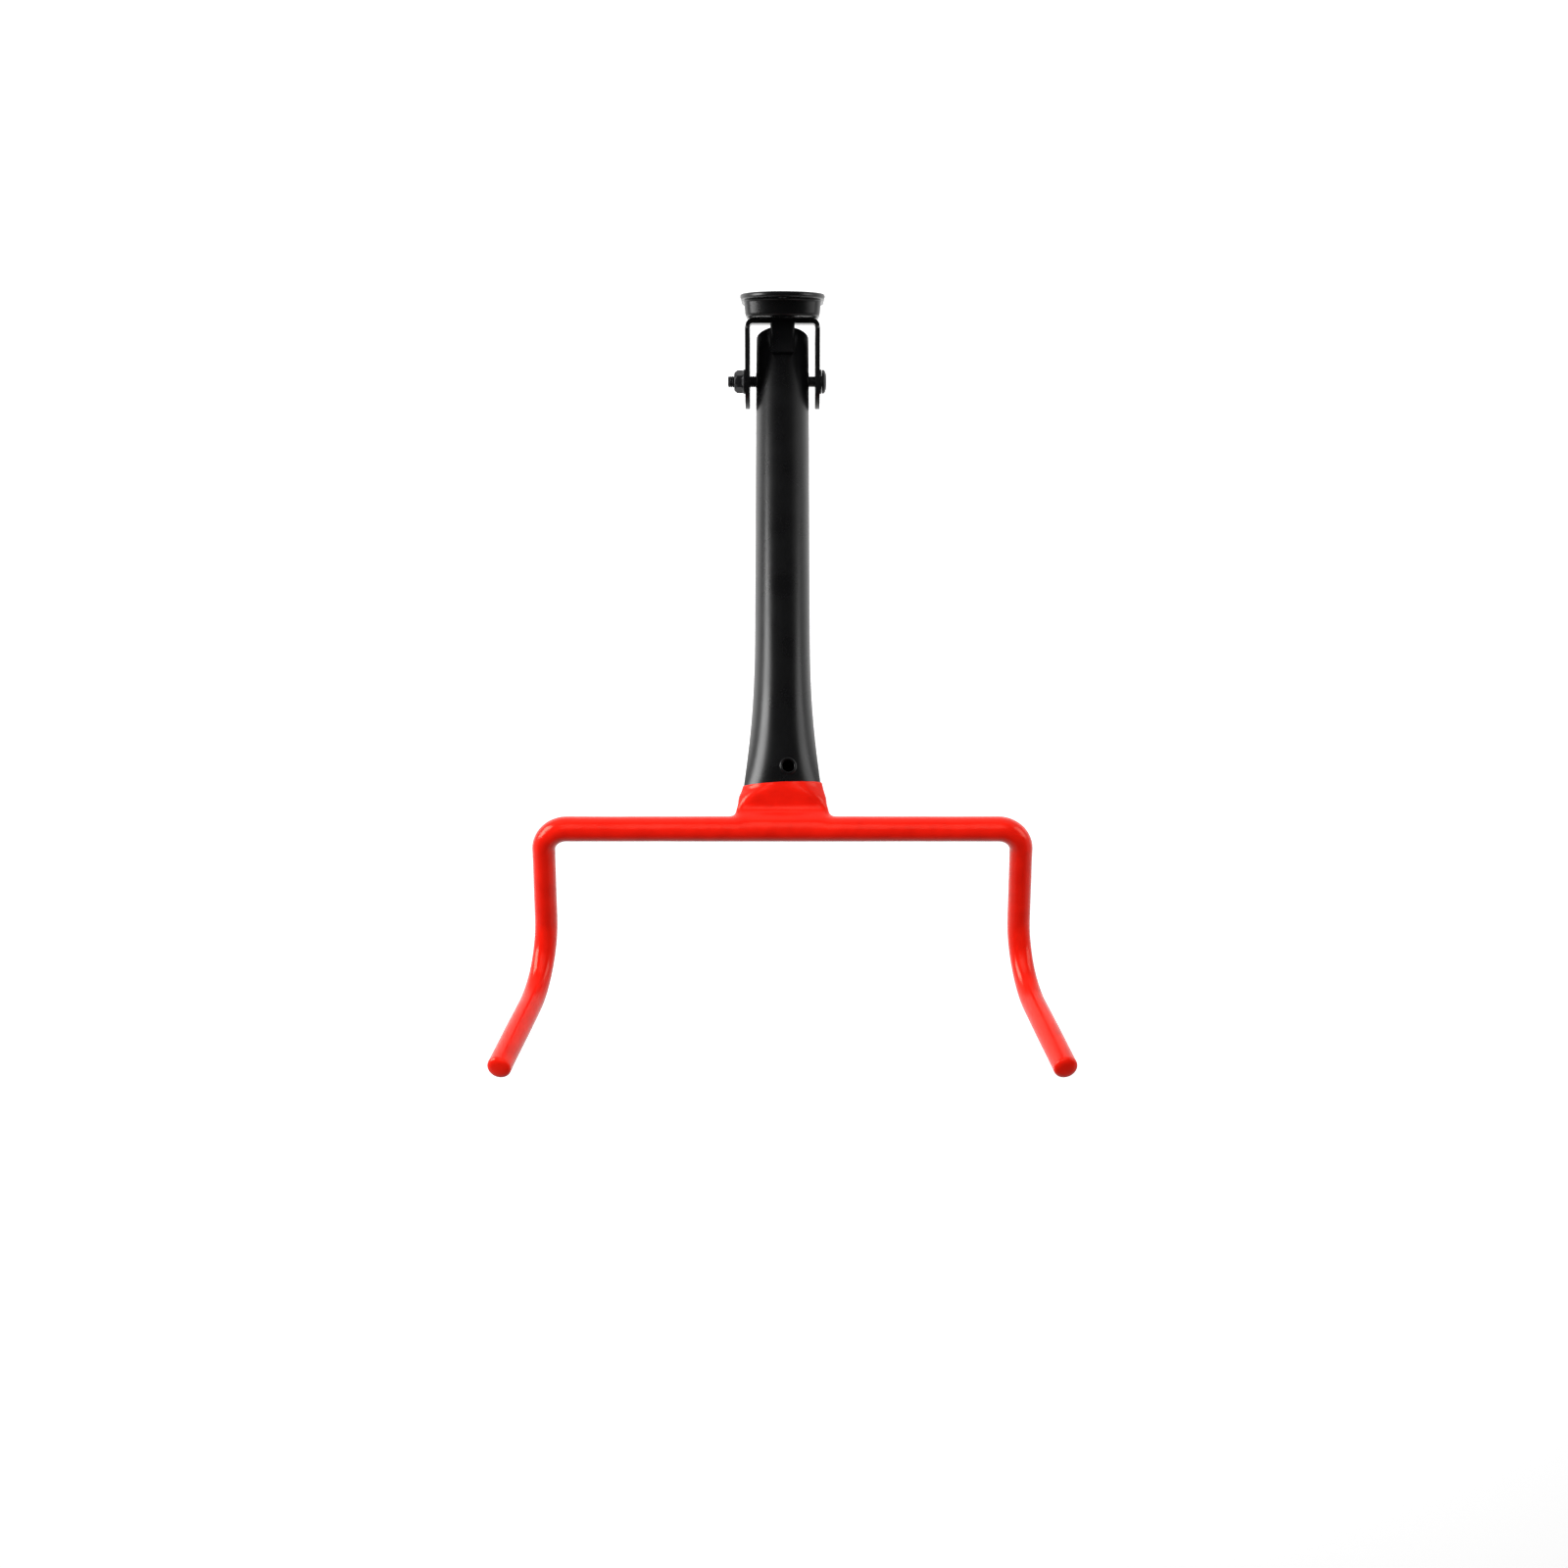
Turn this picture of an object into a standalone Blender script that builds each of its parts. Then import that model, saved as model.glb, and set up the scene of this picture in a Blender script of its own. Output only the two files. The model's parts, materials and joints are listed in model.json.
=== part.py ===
"""Folding wall rack for bicycles, modelled as its separate pieces.

Metres, +Z up. The wall is the plane Y = 0, and the arm reaches away from it towards -Y. The origin is the
centre of the wall plate's back. The arm is shown unfolded, resting against the stop tongue.
"""

import math

import bmesh
import bpy
from mathutils import Matrix, Vector

# Clearance between neighbouring pieces
GAP = 0.0003

# Wall plate, a pressed sheet with a dish in its middle
PLATE_WIDTH = 0.055
PLATE_HEIGHT = 0.100
PLATE_THICKNESS = 0.0035
PLATE_END_FLATTENING = 0.0003
PLATE_CORNER_RADIUS = 0.015
PLATE_EDGE_ROUND = 0.0010
DISH_HEIGHT = 0.0105
DISH_END_MARGIN = 0.018
DISH_SIDE_MARGIN = 0.0015
DISH_WALL = 0.0030
DISH_WALL_RUN = 0.0025
DISH_END_FLATTENING = 0.010
DISH_CORNER_RADIUS = 0.014
SCREW_HOLE_DIAMETER = 0.0065
SCREW_HOLE_INSET = 0.0095

# Hinge bracket, a sheet bent into a U, with a tongue bent out of its web
SHEET = 0.003
BEND_RADIUS = 0.0015
EAR_RADIUS = 0.018
EAR_SIDE_ROOM = 0.004
EAR_NOTCH_RUN = 0.004
WEB_LIP = 0.0024
TONGUE_WIDTH = 0.016
TONGUE_CORNER = 0.0015

# Pivot and fold
PIVOT_REACH = 0.055
PIVOT_DROP = 0.046
ARM_RISE_DEG = 26.5
FOLD_DEG = 60.5
FOLD_CLEARANCE = 0.0004
TUBE_END_CLEARANCE = 0.0015

# Arm tube
TUBE_DIAMETER = 0.035
TUBE_WALL = 0.002
FLARE_LENGTH = 0.1289
FLARE_POWER = 2.9
FLARE_DEG = 58.0
PRESS_LENGTH = 0.0125
FLAT_LENGTH = 0.0088
FLAT_BOW_DEG = 2.0
FLAT_SLOT = 0.0005
VENT_DIAMETER = 0.0084
VENT_FROM_TUBE_END = 0.0316
VENT_OFFSET = 0.0036

# Pivot hardware
BOLT_THREAD_DIAMETER = 0.0078
BOLT_SHANK_DIAMETER = 0.0069
BOLT_THREAD_LENGTH = 0.022
BOLT_CLEARANCE = 0.0004
BOLT_TAIL = 0.0041
BOLT_TIP_CHAMFER = 0.0008
HEAD_DIAMETER = 0.0156
HEAD_HEIGHT = 0.0030
HEAD_RIM = 0.0009
HEAD_CROWN_DEG = 62.0
SOCKET_ACROSS_FLATS = 0.005
SOCKET_DEPTH = 0.0017
WASHER_DIAMETER = 0.016
WASHER_THICKNESS = 0.0010
NUT_ACROSS_FLATS = 0.013
NUT_HEIGHT = 0.0072
NUT_FLANGE_DIAMETER = 0.0168
NUT_FLANGE_THICKNESS = 0.0011
NUT_CONE_HEIGHT = 0.0014
NUT_COLLAR_DIAMETER = 0.0120
NUT_COLLAR_HEIGHT = 0.0024
NUT_LIP = 0.0005
INSERT_WALL = 0.0011
SLEEVE_WALL = 0.0017
EDGE_BREAK = 0.00025

# Fork, one rod bent at two corners and two valleys
ROD_DIAMETER = 0.010
CROSSBAR_REACH = 0.308
FORK_WIDTH = 0.2954
CORNER_RADIUS = 0.015
VALLEY_RADIUS = 0.040
PRONG_DROP_DEG = 46.1
PRONG_DROP_LENGTH = 0.1050
PRONG_RISE_DEG = 42.7
PRONG_RISE_LENGTH = 0.1062
PRONG_SPLAY_INNER_DEG = 1.7
PRONG_SPLAY_OUTER_DEG = 11.1
ROD_END_CHAMFER = 0.0010

# Dip coating, thicker on the crossbar than on the prongs
COAT_ON_BAR = 0.00225
COAT_ON_PRONG = 0.00135
COAT_AT_TIP = 0.0025
COAT_TIP_ROUND = 0.0028
COAT_ON_TUBE = 0.0014
COAT_AT_WELD = 0.0012
COAT_RIM_ROUND = 0.0006
COAT_BLEND_LENGTH = 0.030
DIP_FROM_TUBE_END = 0.0234
SHOULDER_WIDTH = 0.0572
SHOULDER_FROM_BAR = 0.012
SHOULDER_FILLET = 0.006

# Welds
PLUG_WELD_DIAMETER = 0.0090
PLUG_WELD_SPACING = 0.022
PLUG_WELD_CROWN = 0.0004
WEB_WELD_LEG = 0.0035
WEB_WELD_LENGTH = 0.030
ROD_WELD_LENGTH = 0.044
ROD_WELD_RUN = 0.0052
ROD_WELD_OVERLAP = 0.0012
ROD_WELD_BULGE = 0.0011

# Facets
ARC_STEPS = 6
ROD_SIDES = 12
COAT_SIDES = 20
TUBE_SIDES = 32
TURNED_SIDES = 36
HOLE_SIDES = 20
FLARE_STEPS = 9
PRESS_STEPS = 4
DISH_STEPS = 4
SHOULDER_STEPS = 6
TIP_STEPS = 4
BEND_STEP_DEG = 12.0
SMOOTH_ANGLE_DEG = 32.0

# Places that follow from the sizes above
ARM_RISE = math.radians(ARM_RISE_DEG)
TUBE_RADIUS = TUBE_DIAMETER / 2
ROD_RADIUS = ROD_DIAMETER / 2
DISH_FRONT = PLATE_THICKNESS + DISH_HEIGHT
WEB_BACK = DISH_FRONT + GAP
WEB_FRONT = WEB_BACK + SHEET
WEB_TO_PIVOT = PIVOT_REACH - WEB_FRONT
PIVOT = Vector((0.0, -PIVOT_REACH, PLATE_HEIGHT / 2 - PIVOT_DROP))
EAR_INNER = TUBE_RADIUS + EAR_SIDE_ROOM
EAR_OUTER = EAR_INNER + SHEET
WEB_FOOT = PIVOT.z - EAR_RADIUS
BOLT_BORE_RADIUS = BOLT_THREAD_DIAMETER / 2 + BOLT_CLEARANCE
SLEEVE_RADIUS = BOLT_BORE_RADIUS + SLEEVE_WALL
TUBE_END = CROSSBAR_REACH - ROD_RADIUS - GAP
PRESS_END = TUBE_END - FLAT_LENGTH
PRESS_START = PRESS_END - PRESS_LENGTH
FLARE_START = PRESS_END - FLARE_LENGTH
TUBE_GIRTH = math.pi * (TUBE_DIAMETER - TUBE_WALL)
DIP_LINE = TUBE_END - DIP_FROM_TUBE_END
TUBE_SWEEP = WEB_TO_PIVOT - TUBE_END_CLEARANCE
TUBE_START = -math.sqrt(TUBE_SWEEP ** 2 - TUBE_RADIUS ** 2)

BLACK_COAT = (0.012, 0.012, 0.013, 1.0)
DARK_ZINC = (0.030, 0.030, 0.032, 1.0)
BARE_STEEL = (0.420, 0.410, 0.400, 1.0)
WELD_STEEL = (0.180, 0.170, 0.165, 1.0)
NYLON = (0.350, 0.360, 0.380, 1.0)
RED_DIP = (0.820, 0.018, 0.008, 1.0)


def clear_scene():
    """Removes every object that the scene starts with."""
    for item in list(bpy.data.objects):
        bpy.data.objects.remove(item, do_unlink=True)


def finish(name, colour, roughness, metallic):
    """Makes one Principled material."""
    material = bpy.data.materials.new(name)
    material.use_nodes = True
    shader = material.node_tree.nodes["Principled BSDF"]
    shader.inputs["Base Color"].default_value = colour
    shader.inputs["Roughness"].default_value = roughness
    shader.inputs["Metallic"].default_value = metallic
    return material


def add_object(name, points, faces, material=None, parent=None):
    """Makes a closed object from points and faces, with its faces turned outwards."""
    mesh = bpy.data.meshes.new(name)
    mesh.from_pydata(points, [], faces)
    work = bmesh.new()
    work.from_mesh(mesh)
    bmesh.ops.recalc_face_normals(work, faces=work.faces)
    work.to_mesh(mesh)
    work.free()
    mesh.shade_smooth()
    mesh.set_sharp_from_angle(angle=math.radians(SMOOTH_ANGLE_DEG))
    item = bpy.data.objects.new(name, mesh)
    bpy.context.collection.objects.link(item)
    if material:
        mesh.materials.append(material)
    if parent:
        item.parent = parent
    return item


def skin(loops, ring=False):
    """Joins loops of equal length into one surface, capped at both ends, or closed on itself as a ring."""
    count = len(loops[0])
    points = [point for loop in loops for point in loop]
    pairs = len(loops) if ring else len(loops) - 1
    faces = []
    for i in range(pairs):
        here = i * count
        there = ((i + 1) % len(loops)) * count
        for k in range(count):
            after = (k + 1) % count
            faces.append((here + k, here + after, there + after, there + k))
    if not ring:
        faces.append(tuple(range(count)))
        faces.append(tuple(range((len(loops) - 1) * count, len(loops) * count)))
    return points, faces


def cut(target, tool, operation="DIFFERENCE"):
    """Adds a Boolean of the target with a hidden tool."""
    tool.hide_render = True
    tool.display_type = "WIRE"
    step = target.modifiers.new(tool.name, "BOOLEAN")
    step.operation = operation
    step.solver = "EXACT"
    step.object = tool


def prism(name, outline, low, high, place, **options):
    """Extrudes an outline of (u, v) points between two depths; place(u, v, depth) gives each point."""
    loops = [[place(u, v, depth) for u, v in outline] for depth in (low, high)]
    return add_object(name, *skin(loops), **options)


def across(u, v, depth):
    """Places a side outline of (Y, Z) points at a depth along X."""
    return Vector((depth, u, v))


def facing(u, v, depth):
    """Places a front outline of (X, Z) points at a depth along Y."""
    return Vector((u, depth, v))


def from_above(u, v, depth):
    """Places a plan outline of (X, Y) points at a height along Z."""
    return Vector((u, v, depth))


def circle(radius, sides, u=0.0, v=0.0):
    """Gives the points of a circle about (u, v), turned by half a step so that none is straight above it."""
    angles = [2 * math.pi * (k + 0.5) / sides for k in range(sides)]
    return [(u + radius * math.cos(a), v + radius * math.sin(a)) for a in angles]


def arc(centre, radius, start_deg, end_deg, steps=ARC_STEPS):
    """Gives the points of an arc, both ends included."""
    angles = [math.radians(start_deg + (end_deg - start_deg) * k / steps) for k in range(steps + 1)]
    return [(centre[0] + radius * math.cos(a), centre[1] + radius * math.sin(a)) for a in angles]


def turned(name, profile, material, parent, closed=True, flats=None):
    """Turns a profile of (x, radius) points about the X axis.

    A closed profile makes a ring with a bore. flats gives a hexagon's width across flats, which then cuts
    every radius whose profile point has a third value of True.
    """
    loops = []
    for entry in profile:
        x, radius = entry[0], entry[1]
        hexagon = len(entry) > 2 and entry[2]
        loop = []
        for k in range(TURNED_SIDES):
            angle = 2 * math.pi * k / TURNED_SIDES
            reach = radius
            if hexagon:
                from_flat = (angle % (math.pi / 3)) - math.pi / 6
                reach = min(radius, flats / 2 / math.cos(from_flat))
            loop.append(Vector((x, reach * math.cos(angle), reach * math.sin(angle))))
        loops.append(loop)
    return add_object(name, *skin(loops, ring=closed), material=material, parent=parent)


# Wall plate

def plate_outline(inset, half_width, half_height, flattening, corner_radius):
    """Gives a tall outline with straight sides, curved ends and round corners, drawn in by an inset.

    Each end is an arc about the middle line, and its radius is half the width and the flattening. A corner
    arc is tangent to the end arc and to the side.
    """
    end_radius = half_width + flattening - inset
    end_centre = half_height - inset - end_radius
    half_width -= inset
    corner_radius -= inset
    corner_x = half_width - corner_radius
    corner_z = end_centre + math.sqrt((end_radius - corner_radius) ** 2 - corner_x ** 2)
    meet_deg = math.degrees(math.atan2(corner_z - end_centre, corner_x))
    quarter = arc((corner_x, corner_z), corner_radius, 0, meet_deg)
    quarter += arc((0.0, end_centre), end_radius, meet_deg, 90)[1:]
    upper = quarter + [(-x, z) for x, z in reversed(quarter[:-1])]
    return upper + [(-x, -z) for x, z in upper]


def rim_outline(inset):
    """Gives the plate's outer outline, drawn in by an inset."""
    half_width = PLATE_WIDTH / 2
    half_height = PLATE_HEIGHT / 2
    return plate_outline(inset, half_width, half_height, PLATE_END_FLATTENING, PLATE_CORNER_RADIUS)


def dish_outline(inset):
    """Gives the outline of the dish's foot, drawn in by an inset."""
    half_width = PLATE_WIDTH / 2 - DISH_SIDE_MARGIN
    half_height = PLATE_HEIGHT / 2 - DISH_END_MARGIN
    return plate_outline(inset, half_width, half_height, DISH_END_FLATTENING, DISH_CORNER_RADIUS)


def make_wall_plate(material, parent):
    """Makes the plate from loops that run over its hollow back, its edge and its front."""
    shares = [k / DISH_STEPS for k in range(DISH_STEPS + 1)]
    climb = [(DISH_WALL_RUN * t, DISH_HEIGHT * t * t * (3 - 2 * t)) for t in shares]
    full = PLATE_EDGE_ROUND
    soft = full * (1 - math.sqrt(0.5))
    loops = [(dish_outline(DISH_WALL + run), rise) for run, rise in reversed(climb)]
    loops += [(rim_outline(full), 0.0), (rim_outline(soft), soft), (rim_outline(0.0), full)]
    loops += [
        (rim_outline(0.0), PLATE_THICKNESS - full),
        (rim_outline(soft), PLATE_THICKNESS - soft),
        (rim_outline(full), PLATE_THICKNESS),
    ]
    loops += [(dish_outline(run), PLATE_THICKNESS + rise) for run, rise in climb]
    surface = [[Vector((x, -depth, z)) for x, z in outline] for outline, depth in loops]
    plate = add_object("wall_plate", *skin(surface), material=material, parent=parent)
    screw_height = PLATE_HEIGHT / 2 - SCREW_HOLE_INSET
    holes = [(SCREW_HOLE_DIAMETER / 2, 0.0, side * screw_height) for side in (1, -1)]
    holes += [(PLUG_WELD_DIAMETER / 2, x, z) for x, z in plug_weld_places()]
    for number, (radius, x, z) in enumerate(holes):
        outline = circle(radius, HOLE_SIDES, x, z)
        tool = prism(f"plate_hole_{number}", outline, DISH_FRONT, -2 * DISH_FRONT, facing, parent=parent)
        cut(plate, tool)
    return plate


def plug_weld_places():
    """Gives the (X, Z) places of the plug welds, side by side at the middle of the web."""
    middle = (PIVOT.z + web_top() + WEB_FOOT) / 2
    return [(side * PLUG_WELD_SPACING / 2, middle) for side in (-1, 1)]


def make_plug_welds(material, parent):
    """Makes the two plugs of weld that fill the dish's holes and hold the bracket's web."""
    for name, (x, z) in zip(("plug_weld_left", "plug_weld_right"), plug_weld_places()):
        outline = circle(PLUG_WELD_DIAMETER / 2 - GAP, HOLE_SIDES, x, z)
        crown = circle(PLUG_WELD_DIAMETER / 2 - GAP - PLUG_WELD_CROWN, HOLE_SIDES, x, z)
        back = -DISH_HEIGHT + PLUG_WELD_CROWN
        loops = [
            [facing(u, v, back) for u, v in crown],
            [facing(u, v, -DISH_HEIGHT) for u, v in outline],
            [facing(u, v, -DISH_FRONT) for u, v in outline],
        ]
        add_object(name, *skin(loops), material=material, parent=parent)


def make_web_weld(material, parent):
    """Makes the fillet of weld in the corner under the bracket's web, on the dish's face."""
    corner_y = -(DISH_FRONT + GAP)
    corner_z = WEB_FOOT - GAP
    bow = arc((corner_y, corner_z), WEB_WELD_LEG, 180, 270)
    bow = [(y, z) for y, z in bow if y >= -(WEB_FRONT + GAP)]
    outline = [(corner_y, corner_z)] + [(-WEB_FRONT, corner_z)] + bow[1:]
    half = WEB_WELD_LENGTH / 2
    return prism("web_weld", outline, -half, half, across, material=material, parent=parent)


# Hinge bracket

def tongue_underside(reach):
    """Gives the height above the pivot of the tongue's underside, at a reach from the pivot to the wall."""
    return (TUBE_RADIUS + GAP) / math.cos(ARM_RISE) - reach * math.tan(ARM_RISE)


def tongue_tip_reach():
    """Gives the reach of the tongue's tip that just clears the tube when the arm is folded up."""
    folded = ARM_RISE + math.radians(FOLD_DEG)
    room = TUBE_RADIUS + FOLD_CLEARANCE
    lift = (TUBE_RADIUS + GAP) * math.cos(folded) / math.cos(ARM_RISE)
    return (room - lift) / (math.sin(folded) - math.tan(ARM_RISE) * math.cos(folded))


def web_top():
    """Gives the height of the web's upper edge above the pivot."""
    return tongue_underside(WEB_TO_PIVOT) + WEB_LIP


def make_bracket_sheet(material, parent):
    """Makes the web and ears: a U in plan, cut to the ears' side outline."""
    outer = BEND_RADIUS + SHEET
    back = -WEB_BACK
    ends = -(PIVOT_REACH + 2 * EAR_RADIUS)
    right = [(EAR_OUTER, ends)]
    right += arc((EAR_OUTER - outer, back - outer), outer, 0, 90)
    left = [(-x, y) for x, y in reversed(right)]
    inner_left = [(-EAR_INNER, ends)]
    inner_left += arc((-EAR_INNER + BEND_RADIUS, back - outer), BEND_RADIUS, 180, 90)
    inner_right = [(-x, y) for x, y in reversed(inner_left)]
    plan = right + left + inner_left + inner_right
    reach = PLATE_HEIGHT
    bracket = prism("hinge_bracket", plan, -reach, reach, from_above, material=material, parent=parent)

    pivot_y, pivot_z = PIVOT.y, PIVOT.z
    past = DISH_FRONT / 2
    top = pivot_z + web_top()
    nose = arc((pivot_y, pivot_z), EAR_RADIUS, 90, 270, 3 * ARC_STEPS)
    side = nose + [
        (-past, WEB_FOOT),
        (-past, top),
        (-WEB_FRONT - BEND_RADIUS / 2, top),
        (-WEB_FRONT - EAR_NOTCH_RUN, pivot_z + EAR_RADIUS),
    ]
    span = 2 * EAR_OUTER
    cut(bracket, prism("ear_outline", side, -span, span, across, parent=parent), "INTERSECT")
    cut(bracket, make_tongue(parent), "UNION")
    bore = circle(BOLT_BORE_RADIUS, HOLE_SIDES, pivot_y, pivot_z)
    cut(bracket, prism("ear_bore", bore, -span, span, across, parent=parent))
    return bracket


def make_tongue(parent):
    """Makes the stop tongue: it leaves the web's upper edge in a bend and lies along the tube's crown."""
    outer = BEND_RADIUS + SHEET
    rise_deg = ARM_RISE_DEG
    level = tongue_underside(WEB_TO_PIVOT)
    bend_y = -WEB_FRONT - BEND_RADIUS
    drop = BEND_RADIUS / math.cos(ARM_RISE) - BEND_RADIUS * math.tan(ARM_RISE)
    bend = (bend_y, PIVOT.z + level - drop)
    tip = tongue_tip_reach()
    low = Vector((PIVOT.y + tip, PIVOT.z + tongue_underside(tip)))
    high = low + SHEET * Vector((math.sin(ARM_RISE), math.cos(ARM_RISE)))
    root = PIVOT.z + level - outer - SHEET
    outline = [(-WEB_BACK, root)]
    outline += arc(bend, outer, 0, 90 - rise_deg)
    outline += [tuple(high), tuple(low)]
    outline += arc(bend, BEND_RADIUS, 90 - rise_deg, 0)
    outline += [(-WEB_FRONT, root)]
    half = TONGUE_WIDTH / 2
    tongue = prism("stop_tongue", outline, -half, half, across, parent=parent)
    plan = [(half, 0.0), (half, low.x + TONGUE_CORNER), (half - TONGUE_CORNER, low.x)]
    plan += [(-x, y) for x, y in reversed(plan)]
    tool = prism("tongue_plan", plan, root - SHEET, high.y + SHEET, from_above, parent=parent)
    cut(tongue, tool, "INTERSECT")
    return tongue


# Pivot hardware

def make_bolt(material, parent):
    """Makes the bolt: domed head with a socket, reduced shank and threaded end, along X."""
    under_head = EAR_OUTER + WASHER_THICKNESS + 2 * GAP
    tail = -(EAR_OUTER + GAP + NUT_HEIGHT + BOLT_TAIL)
    thread = BOLT_THREAD_DIAMETER / 2
    shank = BOLT_SHANK_DIAMETER / 2
    dome = HEAD_DIAMETER / 2
    profile = [(tail, thread - BOLT_TIP_CHAMFER), (tail + BOLT_TIP_CHAMFER, thread)]
    profile += [(tail + BOLT_THREAD_LENGTH, thread), (tail + BOLT_THREAD_LENGTH + thread - shank, shank)]
    profile += [(under_head, shank), (under_head, dome - HEAD_RIM / 2), (under_head + HEAD_RIM / 2, dome)]
    profile += [(under_head + HEAD_RIM, dome)]
    rise = HEAD_HEIGHT - HEAD_RIM
    for k in range(1, ARC_STEPS + 1):
        angle = math.radians(HEAD_CROWN_DEG) * k / ARC_STEPS
        lift = rise * math.sin(angle) / math.sin(math.radians(HEAD_CROWN_DEG))
        profile.append((under_head + HEAD_RIM + lift, dome * math.cos(angle)))
    bolt = turned("pivot_bolt", profile, material, parent, closed=False)
    corner = SOCKET_ACROSS_FLATS / math.sqrt(3)
    socket = circle(corner, 6)
    face = under_head + HEAD_HEIGHT
    cut(bolt, prism("bolt_socket", socket, face - SOCKET_DEPTH, face + SOCKET_DEPTH, across, parent=parent))
    return bolt


def ring_profile(low, high, bore, outer):
    """Gives a washer's section, with its outer edges broken by a small chamfer."""
    inner_edge = outer - EDGE_BREAK
    return [
        (low, bore),
        (low, inner_edge),
        (low + EDGE_BREAK, outer),
        (high - EDGE_BREAK, outer),
        (high, inner_edge),
        (high, bore),
    ]


def make_washer(material, parent):
    """Makes the flat washer between the right ear and the bolt's head."""
    low = EAR_OUTER + GAP
    high = low + WASHER_THICKNESS
    profile = ring_profile(low, high, BOLT_BORE_RADIUS, WASHER_DIAMETER / 2)
    return turned("head_washer", profile, material, parent)


def insert_places():
    """Gives the nylon ring's near and far face and its outer radius, measured from the nut's seat."""
    far = NUT_HEIGHT - NUT_LIP - GAP
    near = NUT_HEIGHT - NUT_COLLAR_HEIGHT + GAP
    outer = BOLT_BORE_RADIUS + INSERT_WALL
    return near, far, outer


def make_nut(material, parent):
    """Makes the lock nut: flange, cone, hexagon and a collar crimped over the nylon ring."""
    seat = -(EAR_OUTER + GAP)
    near, far, ring = insert_places()
    corner = NUT_ACROSS_FLATS / math.sqrt(3)
    flange = NUT_FLANGE_DIAMETER / 2
    collar = NUT_COLLAR_DIAMETER / 2
    hexagon_top = NUT_HEIGHT - NUT_COLLAR_HEIGHT
    cone_top = NUT_FLANGE_THICKNESS + NUT_CONE_HEIGHT
    pocket = ring + GAP
    steps = [
        (0.0, BOLT_BORE_RADIUS),
        (0.0, flange - EDGE_BREAK),
        (EDGE_BREAK, flange),
        (NUT_FLANGE_THICKNESS - EDGE_BREAK, flange),
        (NUT_FLANGE_THICKNESS, flange - EDGE_BREAK),
        (cone_top, corner, True),
        (hexagon_top - EDGE_BREAK, corner, True),
        (hexagon_top, collar + EDGE_BREAK, True),
        (hexagon_top + EDGE_BREAK, collar),
        (NUT_HEIGHT - NUT_LIP, collar),
        (NUT_HEIGHT, collar - NUT_LIP),
        (NUT_HEIGHT, ring - NUT_LIP),
        (far + GAP, ring - NUT_LIP),
        (far + GAP, pocket),
        (near - GAP, pocket),
        (near - GAP, BOLT_BORE_RADIUS),
    ]
    profile = [(seat - step[0],) + tuple(step[1:]) for step in steps]
    return turned("lock_nut", profile, material, parent, flats=NUT_ACROSS_FLATS)


def make_insert(material, parent):
    """Makes the nylon ring inside the nut's collar."""
    seat = -(EAR_OUTER + GAP)
    near, far, outer = insert_places()
    profile = ring_profile(seat - far, seat - near, BOLT_BORE_RADIUS, outer)
    return turned("nut_insert", profile, material, parent)


def make_sleeve(material, parent):
    """Makes the sleeve that crosses the tube and turns on the bolt."""
    half = TUBE_RADIUS
    profile = ring_profile(-half, half, BOLT_BORE_RADIUS, SLEEVE_RADIUS)
    return turned("pivot_sleeve", profile, material, parent)


# Arm tube; along the arm is -Y in the arm's own frame

def tube_section(along):
    """Gives the half angle, radius and spread of the two arcs that the wall's middle line follows.

    The arcs start as half circles, bend back as the tube flares, and are pressed nearly straight and side by
    side at its end, all with the girth kept. The spread moves each arc off the tube's middle.
    """
    flared = min(max((along - FLARE_START) / FLARE_LENGTH, 0.0), 1.0)
    pressed = min(max((along - PRESS_START) / PRESS_LENGTH, 0.0), 1.0)
    bend = math.pi / 2 - math.radians(FLARE_DEG) * flared ** FLARE_POWER
    bend += (math.radians(FLAT_BOW_DEG) - bend) * pressed
    spread = (TUBE_WALL + FLAT_SLOT) / 2 * pressed
    radius = (TUBE_GIRTH - 2 * math.pi * spread) / (4 * bend)
    return bend, radius, spread


def tube_half_thickness(along):
    """Gives half the tube's outer thickness on its middle line."""
    bend, radius, spread = tube_section(along)
    return radius * (1 - math.cos(bend)) + spread + TUBE_WALL / 2


def tube_half_width(along):
    """Gives half the tube's outer width."""
    bend, radius, spread = tube_section(along)
    return radius * math.sin(bend) + spread + TUBE_WALL / 2


def tube_loop(along, offset):
    """Gives a loop square to the arm, at an offset from the wall's middle line.

    An outer loop closes with a round edge at each side. An inner one, whose offset is negative, stops where
    its arcs meet.
    """
    bend, radius, spread = tube_section(along)
    drop = radius * math.cos(bend) - spread
    flatness = 1 - bend / (math.pi / 2)
    count = TUBE_SIDES // 4
    quarter = []
    for k in range(count):
        if offset < 0:
            meet = math.acos(max(min(drop / (radius + offset), 1.0), -1.0))
            tilt = min(meet, bend) * (k + 0.5) / count
        elif k < count - 1:
            tilt = bend * (k + 0.5) / (count - 1.5 * flatness)
        else:
            tilt = (1 - flatness) * math.pi / 2 * (count - 0.5) / count + flatness * math.pi / 3
        if tilt > bend:
            x = radius * math.sin(bend) + (spread + offset) * math.sin(tilt)
            z = (spread + offset) * math.cos(tilt)
        else:
            x = (radius + offset) * math.sin(tilt)
            z = (radius + offset) * math.cos(tilt) - drop
        quarter.append((x, z))
    right = list(reversed(quarter))
    around = right + [(-x, z) for x, z in quarter] + [(-x, -z) for x, z in right] + [(x, -z) for x, z in quarter]
    return [Vector((x, -along, z)) for x, z in around]


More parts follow.
